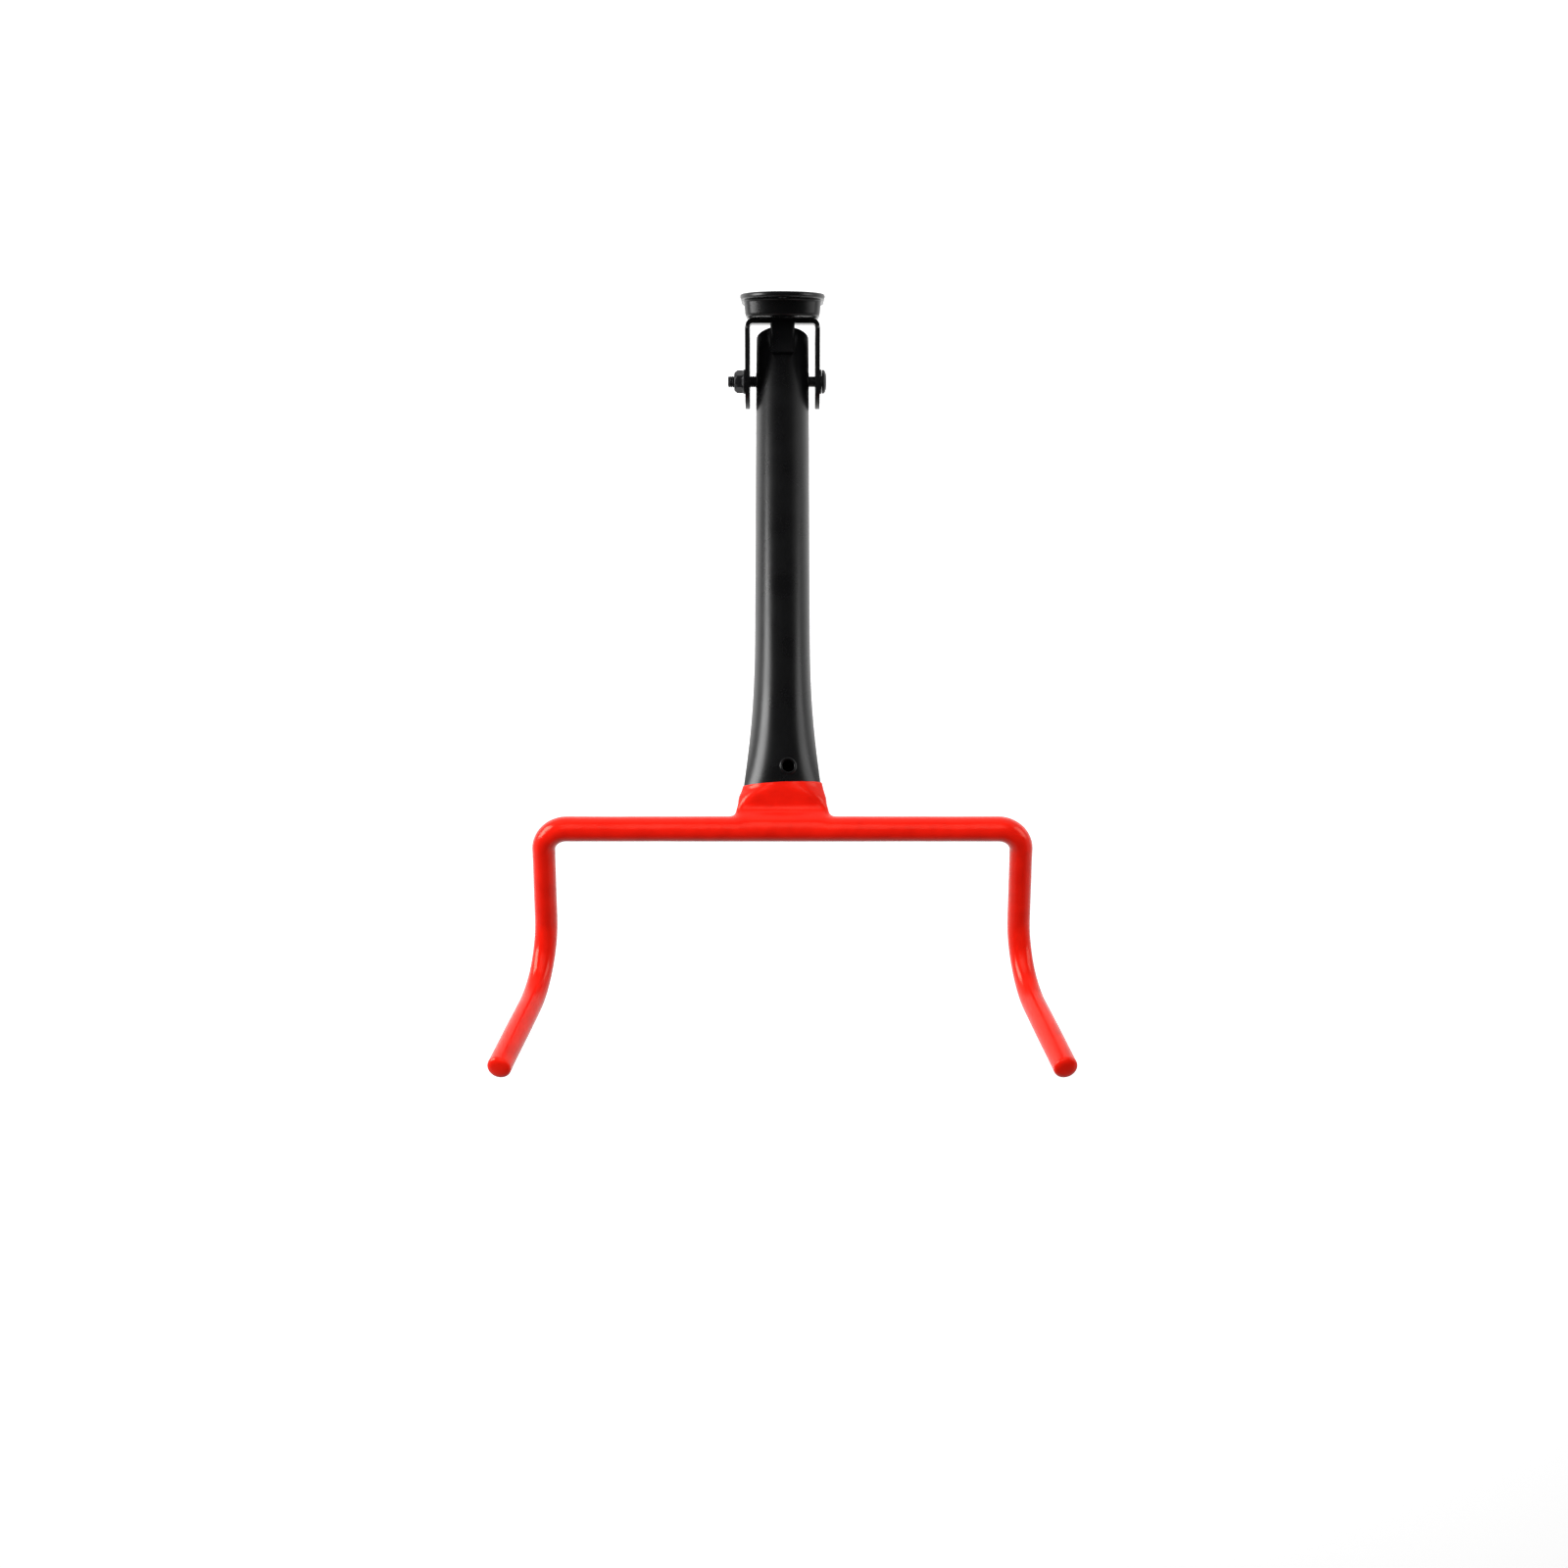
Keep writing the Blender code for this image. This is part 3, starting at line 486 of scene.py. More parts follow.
@dataclass(frozen=True)
class WeldMetal(Finish):
    """Weld under black coat: dark, with soft lumps and a little scale."""

    dark: Colour = (0.012, 0.0115, 0.011)
    light: Colour = (0.045, 0.042, 0.040)
    roughness: Pair = (0.40, 0.62)
    size: float = 1.4 * MM
    detail: float = 4.0
    harshness: float = 0.6
    relief: tuple[Pair, ...] = ((0.0, 0.05 * MM),)
    inputs: tuple[tuple[str, Any], ...] = (("Metallic", 0.3),)


@dataclass(frozen=True)
class Nylon(Finish):
    """Pale nylon of the lock nut's ring."""

    dark: Colour = (0.300, 0.310, 0.330)
    light: Colour = (0.380, 0.390, 0.410)
    roughness: Pair = (0.42, 0.55)
    size: float = 1.2 * MM
    detail: float = 3.0
    relief: tuple[Pair, ...] = ((0.0, 0.01 * MM),)


class Finishes:
    """Every finish of the rack, made once."""

    def __init__(self) -> None:
        """Makes the materials."""
        finishes = {
            Slot.BLACK: PowderCoat(),
            Slot.HARDWARE: DarkZinc(),
            Slot.STEEL: BareSteel(),
            Slot.WELD: WeldMetal(),
            Slot.NYLON: Nylon(),
            Slot.RED: DipCoat(),
        }
        self.of = {slot: finish.make(slot.value) for slot, finish in finishes.items()}

    def dress(self, piece: Piece, slot: Slot, body: Body, stands_for: Optional[str] = None) -> None:
        """Gives a new piece its finish and its body.

        Args:
            piece: the finished mesh.
            slot: the material slot that it takes its finish from.
            body: the body that it moves with.
            stands_for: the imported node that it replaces, if any.
        """
        piece.data.materials.clear()
        piece.data.materials.append(self.of[slot])
        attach(piece, body.value)
        if stands_for:
            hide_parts(stands_for)
        LOG.info("%s: %d faces, on %s", piece.name, len(piece.data.polygons), body.value)

    def dress_node(self, node: str, slot: Slot) -> None:
        """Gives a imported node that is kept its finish.

        Args:
            node: the node's name.
            slot: the material slot that it takes its finish from.
        """
        mesh = frame["nodes"][node].data
        mesh.materials.clear()
        mesh.materials.append(self.of[slot])
        LOG.info("%s: packed solid kept", node)


# The arm's own frame

@dataclass(frozen=True)
class ArmAxes:
    """The arm's own frame in the unfolded position."""

    rise_deg: float = 26.5

    @property
    def rise(self) -> float:
        """The arm's rise in radians."""
        return math.radians(self.rise_deg)

    def world(self, points: Array) -> Array:
        """Places points of the arm's frame. Formula: a turn about X by the rise, then a move to the pivot.

        Args:
            points: (x, along, lift) in the last axis.

        Returns:
            The same points in the rack's frame.
        """
        x, along, lift = np.moveaxis(points, -1, 0)
        y = lift * math.sin(self.rise) - along * math.cos(self.rise)
        z = along * math.sin(self.rise) + lift * math.cos(self.rise)
        return np.stack([x, y, z], axis=-1) + PIVOT


ARM = ArmAxes()


# Wall plate

@dataclass
class WallPlate:
    """The pressed plate with its dish and its screw holes."""

    width: float = 55 * MM
    height: float = 100 * MM
    thickness: float = 3.5 * MM
    end_flattening: float = 0.3 * MM
    corner_radius: float = 15 * MM
    edge_round: float = 1.45 * MM
    dish_height: float = 10.5 * MM
    dish_side_margin: float = 0.9 * MM
    dish_end_margin: float = 17.4 * MM
    dish_end_flattening: float = 10 * MM
    dish_corner_radius: float = 14 * MM
    dish_wall: float = 3.0 * MM
    dish_draft_deg: float = 84.0
    foot_round: float = 1.4 * MM
    brow_round: float = 2.4 * MM
    hole_diameter: float = 6.5 * MM
    hole_inset: float = 9.5 * MM
    hole_flare: float = 0.45 * MM
    hole_sides: int = 48
    arc_count: int = 22
    edge_count: int = 7
    sharp_deg: float = 32.0

    def outline(
        self, inset: float, half_width: float, half_height: float, flattening: float, corner: float
    ) -> Array:
        """Gives a tall outline with curved ends and round corners, drawn in by an inset.

        Formula: each end is an arc about the middle line; each corner arc touches it and the side.

        Args:
            inset: how far the outline is drawn in.
            half_width: half its width before that.
            half_height: half its height before that.
            flattening: how much the end's radius exceeds half the width.
            corner: the corner's radius.

        Returns:
            Points (X, Z) round the outline.
        """
        end_radius = half_width + flattening - inset
        end_centre = half_height - inset - end_radius
        corner_radius = corner - inset
        corner_x = half_width - inset - corner_radius
        corner_z = end_centre + math.sqrt((end_radius - corner_radius) ** 2 - corner_x ** 2)
        meet = math.degrees(math.atan2(corner_z - end_centre, corner_x))
        side = arc_points((corner_x, corner_z), corner_radius, 0.0, meet, self.arc_count)
        top = arc_points((0.0, end_centre), end_radius, meet, 90.0, self.arc_count)
        quarter = np.concatenate([side, top[1:]])
        upper = np.concatenate([quarter, quarter[-2::-1] * (-1, 1)])
        return np.concatenate([upper, -upper])

    def rim(self, inset: float) -> Array:
        """Gives the plate's outer outline, drawn in by an inset."""
        return self.outline(inset, self.width / 2, self.height / 2, self.end_flattening, self.corner_radius)

    def dish(self, inset: float) -> Array:
        """Gives the outline of the dish's foot, drawn in by an inset."""
        half_width = self.width / 2 - self.dish_side_margin
        half_height = self.height / 2 - self.dish_end_margin
        return self.outline(inset, half_width, half_height, self.dish_end_flattening, self.dish_corner_radius)

    def climb(self) -> Array:
        """Gives the dish wall's run and rise, from its foot to its brow.

        Formula: an arc from level to the draft angle, a straight wall, and an arc back to level.

        Returns:
            Points (run inwards, rise).
        """
        foot, brow = self.foot_round, self.brow_round
        draft = math.radians(self.dish_draft_deg)
        wall = (self.dish_height - (foot + brow) * (1 - math.cos(draft))) / math.sin(draft)
        a = np.linspace(0.0, draft, self.edge_count)
        lower = foot * np.stack([np.sin(a), 1 - np.cos(a)], axis=1)
        corner = lower[-1] + wall * np.array([math.cos(draft), math.sin(draft)])
        b = a[::-1]
        shift = np.stack([math.sin(draft) - np.sin(b), np.cos(b) - math.cos(draft)], axis=1)
        return np.concatenate([lower, corner + brow * shift])

    def shell(self) -> Piece:
        """Makes the plate: hollow back, bullnose edge, flange, dish and screw holes.

        Returns:
            The plate.
        """
        edge = rounding(self.edge_round, self.edge_count)
        rows = [(self.dish(self.dish_wall + run), rise) for run, rise in self.climb()[::-1]]
        rows += [(self.rim(inset), depth) for inset, depth in edge]
        rows += [(self.rim(inset), self.thickness - depth) for depth, inset in edge]
        rows += [(self.dish(run), self.thickness + rise) for run, rise in self.climb()]
        grid = np.stack([np.insert(outline, 1, -depth, axis=1) for outline, depth in rows])
        plate = skin("wall_plate_pressing", grid)
        height = self.height / 2 - self.hole_inset
        combine(plate, [self.hole_tool(side * height) for side in (1, -1)], "DIFFERENCE")
        smooth(plate, self.sharp_deg)
        return plate

    def hole_tool(self, height: float) -> Piece:
        """Makes the cutter of one screw hole, flared at both faces.

        Args:
            height: the hole's height.

        Returns:
            The cutter.
        """
        bore = self.hole_diameter / 2
        flare, thick = self.hole_flare, self.thickness
        depth = np.array([-thick, 0.0, flare, thick - flare, thick, 2 * thick])
        radius = bore + np.array([flare + thick / 2, flare, 0.0, 0.0, flare, flare + thick / 2])
        a = TURN * (np.arange(self.hole_sides) + 0.5) / self.hole_sides
        x = radius[:, None] * np.cos(a)
        z = height + radius[:, None] * np.sin(a)
        y = np.broadcast_to(-depth[:, None], x.shape)
        return skin("hole_tool", np.stack([x, y, z], axis=-1))

    def build(self, finishes: Finishes) -> None:
        """Makes the plate and dresses it."""
        finishes.dress(self.shell(), Slot.BLACK, Body.BRACKET, "wall_plate")


# Hinge bracket

@dataclass
class HingeBracket:
    """The bent sheet that holds the pivot: web, two ears and the stop tongue."""

    sheet: float = 3.0 * MM
    bend_radius: float = 1.5 * MM
    ear_radius: float = 18 * MM
    ear_inner: float = 21.5 * MM
    notch_run: float = 4.0 * MM
    web_back: float = 14.3 * MM
    web_lip: float = 2.4 * MM
    tongue_width: float = 16 * MM
    tongue_corner: float = 1.5 * MM
    tongue_chamfer: float = 1.3 * MM
    tip_reach: float = 17.4 * MM
    tube_radius: float = 17.5 * MM
    bore_diameter: float = 8.6 * MM
    bore_sides: int = 48
    nose_count: int = 72
    bend_counts: tuple[int, int] = (16, 12)
    tongue_counts: tuple[int, int] = (14, 10)
    edge_round: float = 0.55 * MM
    edge_facets: int = 4
    edge_deg: float = 50.0
    sharp_deg: float = 40.0

    @property
    def web_front(self) -> float:
        """The web's front face, measured from the wall."""
        return self.web_back + self.sheet

    def underside(self, reach: float) -> float:
        """Gives the tongue's underside above the pivot at a reach towards the wall."""
        return (self.tube_radius + GAP) / math.cos(ARM.rise) - reach * math.tan(ARM.rise)

    def leg(self, half_width: float, bend: float, count: int) -> Array:
        """Gives half the U in plan: the end of an ear and the bend into the web.

        Args:
            half_width: the ear's face, measured from the middle.
            bend: the bend's radius on that face.
            count: points of the bend.

        Returns:
            Points (X, Y).
        """
        centre = (half_width - bend, -self.web_front - self.bend_radius)
        end = (half_width, PIVOT[1] - 2 * self.ear_radius)
        return np.concatenate([[end], arc_points(centre, bend, 0, 90, count)])

    def sheet_metal(self) -> Piece:
        """Makes the U of web and ears, cut to the ears' outline, with the tongue and the bolt's bore.

        Returns:
            The bracket.
        """
        ear_outer = self.ear_inner + self.sheet
        right = self.leg(ear_outer, self.bend_radius + self.sheet, self.bend_counts[0])
        inner = self.leg(self.ear_inner, self.bend_radius, self.bend_counts[1])
        flip = (-1, 1)
        plan = np.concatenate([right, right[::-1] * flip, inner * flip, inner[::-1]])
        pivot_y, pivot_z = PIVOT[1:]
        reach = pivot_z + 3 * self.ear_radius
        bracket = bar("hinge_bracket_sheet", plan, -reach, reach, axis=2)

        top = pivot_z + self.underside(-pivot_y - self.web_front) + self.web_lip
        nose = arc_points((pivot_y, pivot_z), self.ear_radius, 90, 270, self.nose_count)
        past = -self.web_back / 2
        notch = [
            (past, pivot_z - self.ear_radius),
            (past, top),
            (-self.web_front - self.bend_radius / 2, top),
            (-self.web_front - self.notch_run, pivot_z + self.ear_radius),
        ]
        span = 2 * ear_outer
        side = bar("ear_outline", np.concatenate([nose, notch]), -span, span, axis=0)
        bore = circle_points(self.bore_diameter / 2, self.bore_sides, (pivot_y, pivot_z))
        combine(bracket, [side], "INTERSECT")
        combine(bracket, [self.tongue()], "UNION")
        combine(bracket, [bar("ear_bore", bore, -span, span, axis=0)], "DIFFERENCE")
        soften(bracket, self.edge_round, self.edge_facets, self.edge_deg)
        smooth(bracket, self.sharp_deg)
        return bracket

    def tongue(self) -> Piece:
        """Makes the stop tongue: a bend out of the web's upper edge, then a flat along the tube's crown.

        Returns:
            The tongue.
        """
        rise = ARM.rise
        level = self.underside(-PIVOT[1] - self.web_front)
        drop = self.bend_radius / math.cos(rise) - self.bend_radius * math.tan(rise)
        bend = (-self.web_front - self.bend_radius, PIVOT[2] + level - drop)
        outer = self.bend_radius + self.sheet
        low = PIVOT[1:] + (self.tip_reach, self.underside(self.tip_reach))
        high = low + self.sheet * np.array([math.sin(rise), math.cos(rise)])
        root = PIVOT[2] + level - outer - self.sheet
        outline = np.concatenate(
            [
                [(-self.web_back, root)],
                arc_points(bend, outer, 0, 90 - ARM.rise_deg, self.tongue_counts[0]),
                [high, low],
                arc_points(bend, self.bend_radius, 90 - ARM.rise_deg, 0, self.tongue_counts[1]),
                [(-self.web_front, root)],
            ]
        )
        half = self.tongue_width / 2
        tongue = bar("stop_tongue", outline, -half, half, axis=0)
        corner = self.tongue_corner
        plan = np.array([(half, 0.0), (half, low[0] + corner), (half - corner, low[0])])
        plan = np.concatenate([plan, plan[::-1] * (-1, 1)])
        combine(tongue, [bar("tongue_plan", plan, root - outer, high[1] + outer, axis=2)], "INTERSECT")
        combine(tongue, [self.tongue_edges()], "INTERSECT")
        return tongue

    def tongue_edges(self) -> Piece:
        """Makes a long bar with two chamfered upper edges, which shapes the tongue's edges.

        Returns:
            The bar.
        """
        half = self.tongue_width / 2
        top = self.tube_radius + GAP + self.sheet
        cut = self.tongue_chamfer
        right = np.array([(2 * half, -2 * top), (half, top - cut), (half - cut, top)])
        profile = np.concatenate([right, right[::-1] * (-1, 1)])
        ends = [np.insert(profile, 1, along, axis=1) for along in (-4 * top, 0.0)]
        return skin("tongue_edges", ARM.world(np.stack(ends)))

    def build(self, finishes: Finishes) -> None:
        """Makes the bracket and dresses it."""
        finishes.dress(self.sheet_metal(), Slot.BLACK, Body.BRACKET, "hinge_bracket")


# Pivot hardware

@dataclass
class PivotHardware:
    """The bolt with its thread, the washer and the flanged lock nut, all about the pivot's axis."""

    ear_outer: float = 24.5 * MM
    thread_diameter: float = 7.8 * MM
    thread_length: float = 22 * MM
    pitch: float = 1.25 * MM
    thread_depth: float = 0.62 * MM
    flank_slope: float = 2.6
    crest_share: float = 0.15
    shank_diameter: float = 6.9 * MM
    tail: float = 4.1 * MM
    tip_chamfer: float = 0.8 * MM
    head_diameter: float = 15.6 * MM
    head_height: float = 3.0 * MM
    head_rim: float = 0.9 * MM
    crown_deg: float = 62.0
    socket_across: float = 5.0 * MM
    socket_depth: float = 1.7 * MM
    washer_diameter: float = 16.0 * MM
    washer_thickness: float = 1.0 * MM
    nut_across: float = 13.0 * MM
    nut_height: float = 7.2 * MM
    flange_diameter: float = 16.2 * MM
    flange_thickness: float = 1.1 * MM
    cone_height: float = 0.9 * MM
    collar_diameter: float = 13.0 * MM
    collar_height: float = 1.8 * MM
    collar_bore: float = 9.4 * MM
    crimp_round: float = 1.2 * MM
    bore_diameter: float = 8.6 * MM
    edge: float = 0.28 * MM
    sharp_deg: float = 38.0
    sides: int = 72
    rows_per_turn: int = 14
    edge_count: int = 6
    washer_edge_count: int = 5
    crown_count: int = 18
    chamfer_count: int = 7

    @property
    def angles(self) -> Array:
        """The angles of the turned pieces' columns."""
        return TURN * np.arange(self.sides) / self.sides

    def turn(self, along: Array, radius: Array) -> Array:
        """Turns a profile about the pivot's axis. Formula: (x, r cos a, r sin a) from the pivot.

        Args:
            along: X of each row.
            radius: radius of each row, or of each row and column.

        Returns:
            A grid of points.
        """
        radius = radius if radius.ndim == 2 else np.repeat(radius[:, None], self.sides, axis=1)
        x = np.broadcast_to(along[:, None], radius.shape)
        return PIVOT + np.stack([x, radius * np.cos(self.angles), radius * np.sin(self.angles)], axis=-1)

    def thread(self, start: float, end: float) -> Array:
        """Gives the thread's points.

        Formula: the crest's radius less a clipped saw of x / pitch less the angle's share of a turn. The saw
        fades over the last pitch, and the cone at the tip cuts the radius.

        Args:
            start: X of the tip.
            end: X where the thread ends.

        Returns:
            A grid of points.
        """
        crest = self.thread_diameter / 2
        x = np.linspace(start, end, round(self.thread_length / self.pitch * self.rows_per_turn))
        phase = (x[:, None] / self.pitch - np.arange(self.sides) / self.sides) % 1.0
        flank = np.clip(self.flank_slope * np.abs(phase - 0.5) - self.crest_share, 0.0, 1.0)
        fade = ease((end - x) / self.pitch)[:, None]
        cone = (crest - self.tip_chamfer + (x - start))[:, None]
        return self.turn(x, np.minimum(crest - self.thread_depth * flank * fade, cone))

    def bolt(self) -> Piece:
        """Makes the bolt: thread, shank and domed head with its socket.

        Returns:
            The bolt.
        """
        under = self.ear_outer + self.washer_thickness + 2 * GAP
        start = -(self.ear_outer + GAP + self.nut_height + self.tail)
        end = start + self.thread_length
        shank = self.shank_diameter / 2
        step = self.thread_diameter / 2 - shank
        neck = np.array([(end + step, shank), (under - self.edge, shank), (under, shank + self.edge)])
        dome = self.head_diameter / 2
        rim = (under, dome) + rounding(self.edge, self.edge_count)[:, ::-1] * (1, -1)
        b = np.radians(np.linspace(0.0, self.crown_deg, self.crown_count))
        rise = (self.head_height - self.head_rim) * np.sin(b) / math.sin(math.radians(self.crown_deg))
        crown = np.stack([under + self.head_rim + rise, dome * np.cos(b)], axis=1)
        profile = np.concatenate([neck, rim, crown])
        bolt = skin("pivot_bolt_turned", np.concatenate([self.thread(start, end), self.turn(*profile.T)]))
        face = under + self.head_height
        socket = circle_points(self.socket_across / math.sqrt(3), 6, PIVOT[1:])
        tool = bar("bolt_socket", socket, face - self.socket_depth, face + self.socket_depth, axis=0)
        combine(bolt, [tool], "DIFFERENCE")
        smooth(bolt, self.sharp_deg)
        return bolt

    def washer(self) -> Piece:
        """Makes the washer with its rounded outer edges.

        Returns:
            The washer.
        """
        low = self.ear_outer + GAP
        high = low + self.washer_thickness
        outer = self.washer_diameter / 2
        bore = self.bore_diameter / 2
        edge = rounding(self.edge, self.washer_edge_count)
        first = ((low, outer) + edge * (1, -1))[::-1]
        profile = np.concatenate([[(low, bore)], first, (high, outer) - edge, [(high, bore)]])
        washer = skin("head_washer_turned", self.turn(*profile.T), ring=True)
        smooth(washer, self.sharp_deg)
        return washer

    def nut(self) -> Piece:
        """Makes the nut. Its hexagon is the lesser of the flat's distance and the chamfer's cone.

        Returns:
            The nut.
        """
        flange = self.flange_diameter / 2
        corner = self.nut_across / math.sqrt(3)
        collar = self.collar_diameter / 2
        bore = self.bore_diameter / 2
        edge = rounding(2 * self.edge, self.edge_count)
        base = (0.0, flange) + edge[:, ::-1] * (1, -1)
        plain = np.concatenate([[(0.0, bore)], base, (self.flange_thickness, flange) - edge])

        cone_top = self.flange_thickness + self.cone_height
        hexagon_top = self.nut_height - self.collar_height / 2
        chamfer_start = (hexagon_top - 4 * self.edge, corner)
        chamfer = np.linspace(chamfer_start, (hexagon_top, collar), self.chamfer_count)
        cut = np.concatenate([[(cone_top, corner), (cone_top + self.edge, corner)], chamfer])
        sixth = math.pi / 3
        hexagon = self.nut_across / 2 / np.cos(self.angles % sixth - sixth / 2)

        dome = (self.nut_height - hexagon_top, self.crimp_round)
        crimp = (self.nut_height, collar) - rounding(1.0, self.edge_count) * dome
        hole = self.collar_bore / 2
        depth = hexagon_top - self.collar_height / 2
        tail = np.concatenate([crimp[1:], [(self.nut_height, hole), (depth, hole), (depth, bore)]])

        seat = -(self.ear_outer + GAP)
        rows = ((plain, plain[:, 1]), (cut, np.minimum(hexagon, cut[:, 1][:, None])), (tail, tail[:, 1]))
        grid = np.concatenate([self.turn(seat - profile[:, 0], radius) for profile, radius in rows])
        nut = skin("lock_nut_turned", grid, ring=True)
        smooth(nut, self.sharp_deg)
        return nut

    def build(self, finishes: Finishes) -> None:
        """Makes the bolt, washer and nut and dresses them and the nut's ring."""
        pieces = {"pivot_bolt": self.bolt(), "head_washer": self.washer(), "lock_nut": self.nut()}
        for node, piece in pieces.items():
            finishes.dress(piece, Slot.HARDWARE, Body.BRACKET, node)
        finishes.dress_node("nut_insert", Slot.NYLON)


# Welds

@dataclass
class Welds:
    """The bead under the web and the two plugs behind it."""

    bead_length: float = 30 * MM
    bead_leg: float = 3.0 * MM
    ripple_pitch: float = 1.7 * MM
    ripple_depth: float = 0.22 * MM
    end_power: float = 6.0
    end_least: float = 0.02
    bead_rows: int = 160
    bead_count: int = 14
    corner: Pair = (-14.3 * MM, -14.3 * MM)
    plug_diameter: float = 9.0 * MM
    plug_spacing: float = 22 * MM
    plug_height: float = -3.25 * MM
    plug_front: float = 14.0 * MM
    plug_back: float = 10.1 * MM
    plug_dome: float = 0.4 * MM
    plug_proud: float = 0.5 * MM
    plug_ripple: float = 0.10 * MM
    plug_rings: int = 5
    plug_sides: int = 48
    plug_rows: int = 26
    plug_core: float = 0.04
    plug_sharp_deg: float = 45.0
    sharp_deg: float = 50.0

    def bead(self) -> Piece:
        """Makes the bead. Its leg shrinks at both ends and by a wave along it, as laid weld does.

        Returns:
            The bead.
        """
        half = self.bead_length / 2
        x = np.linspace(-half, half, self.bead_rows)
        ripple = self.ripple_depth * (0.5 + 0.5 * np.cos(TURN * x / self.ripple_pitch))
        ends = np.sqrt(np.clip(1 - (np.abs(x) / half) ** self.end_power, self.end_least, 1.0))
        leg = (self.bead_leg - ripple) * ends
        root = (0.0, 0.0)
        section = np.concatenate([[root], arc_points(root, 1.0, 180.0, 270.0, self.bead_count)])
        yz = section[None] * leg[:, None, None] + self.corner
        across = np.repeat(x[:, None, None], len(section), axis=1)
        bead = skin("web_weld_bead", np.concatenate([across, yz], axis=2))
        smooth(bead, self.sharp_deg)
        return bead

    def plug(self, side: int, name: str) -> Piece:
        """Makes one plug. Its back is a low dome with rings that fade inwards.

        Args:
            side: -1 for the left plug, 1 for the right one.
            name: the piece's name.

        Returns:
            The plug.
        """
        t = np.linspace(self.plug_core, 1.0, self.plug_rows)
        rings = 0.5 - 0.5 * np.cos(self.plug_rings * TURN * t)
        dome = self.plug_dome * t ** 2 + self.plug_ripple * rings * t
        depth = np.concatenate([self.plug_back + np.minimum(dome, self.plug_proud), [self.plug_front]])
        reach = np.concatenate([t, [1.0]]) * (self.plug_diameter / 2 - GAP)
        a = TURN * np.arange(self.plug_sides) / self.plug_sides
        x = side * self.plug_spacing / 2 + reach[:, None] * np.cos(a)
        z = self.plug_height + reach[:, None] * np.sin(a)
        y = np.broadcast_to(-depth[:, None], x.shape)
        plug = skin(name, np.stack([x, y, z], axis=-1))
        smooth(plug, self.plug_sharp_deg)
        return plug

    def build(self, finishes: Finishes) -> None:
        """Makes the welds and dresses them, and dresses those under the coating."""
        finishes.dress(self.bead(), Slot.WELD, Body.BRACKET, "web_weld")
        for side, word in ((-1, "left"), (1, "right")):
            pool = self.plug(side, f"plug_weld_{word}_pool")
            finishes.dress(pool, Slot.WELD, Body.BRACKET, f"plug_weld_{word}")
        for node in ("rod_weld_upper", "rod_weld_lower"):
            finishes.dress_node(node, Slot.WELD)


# Arm

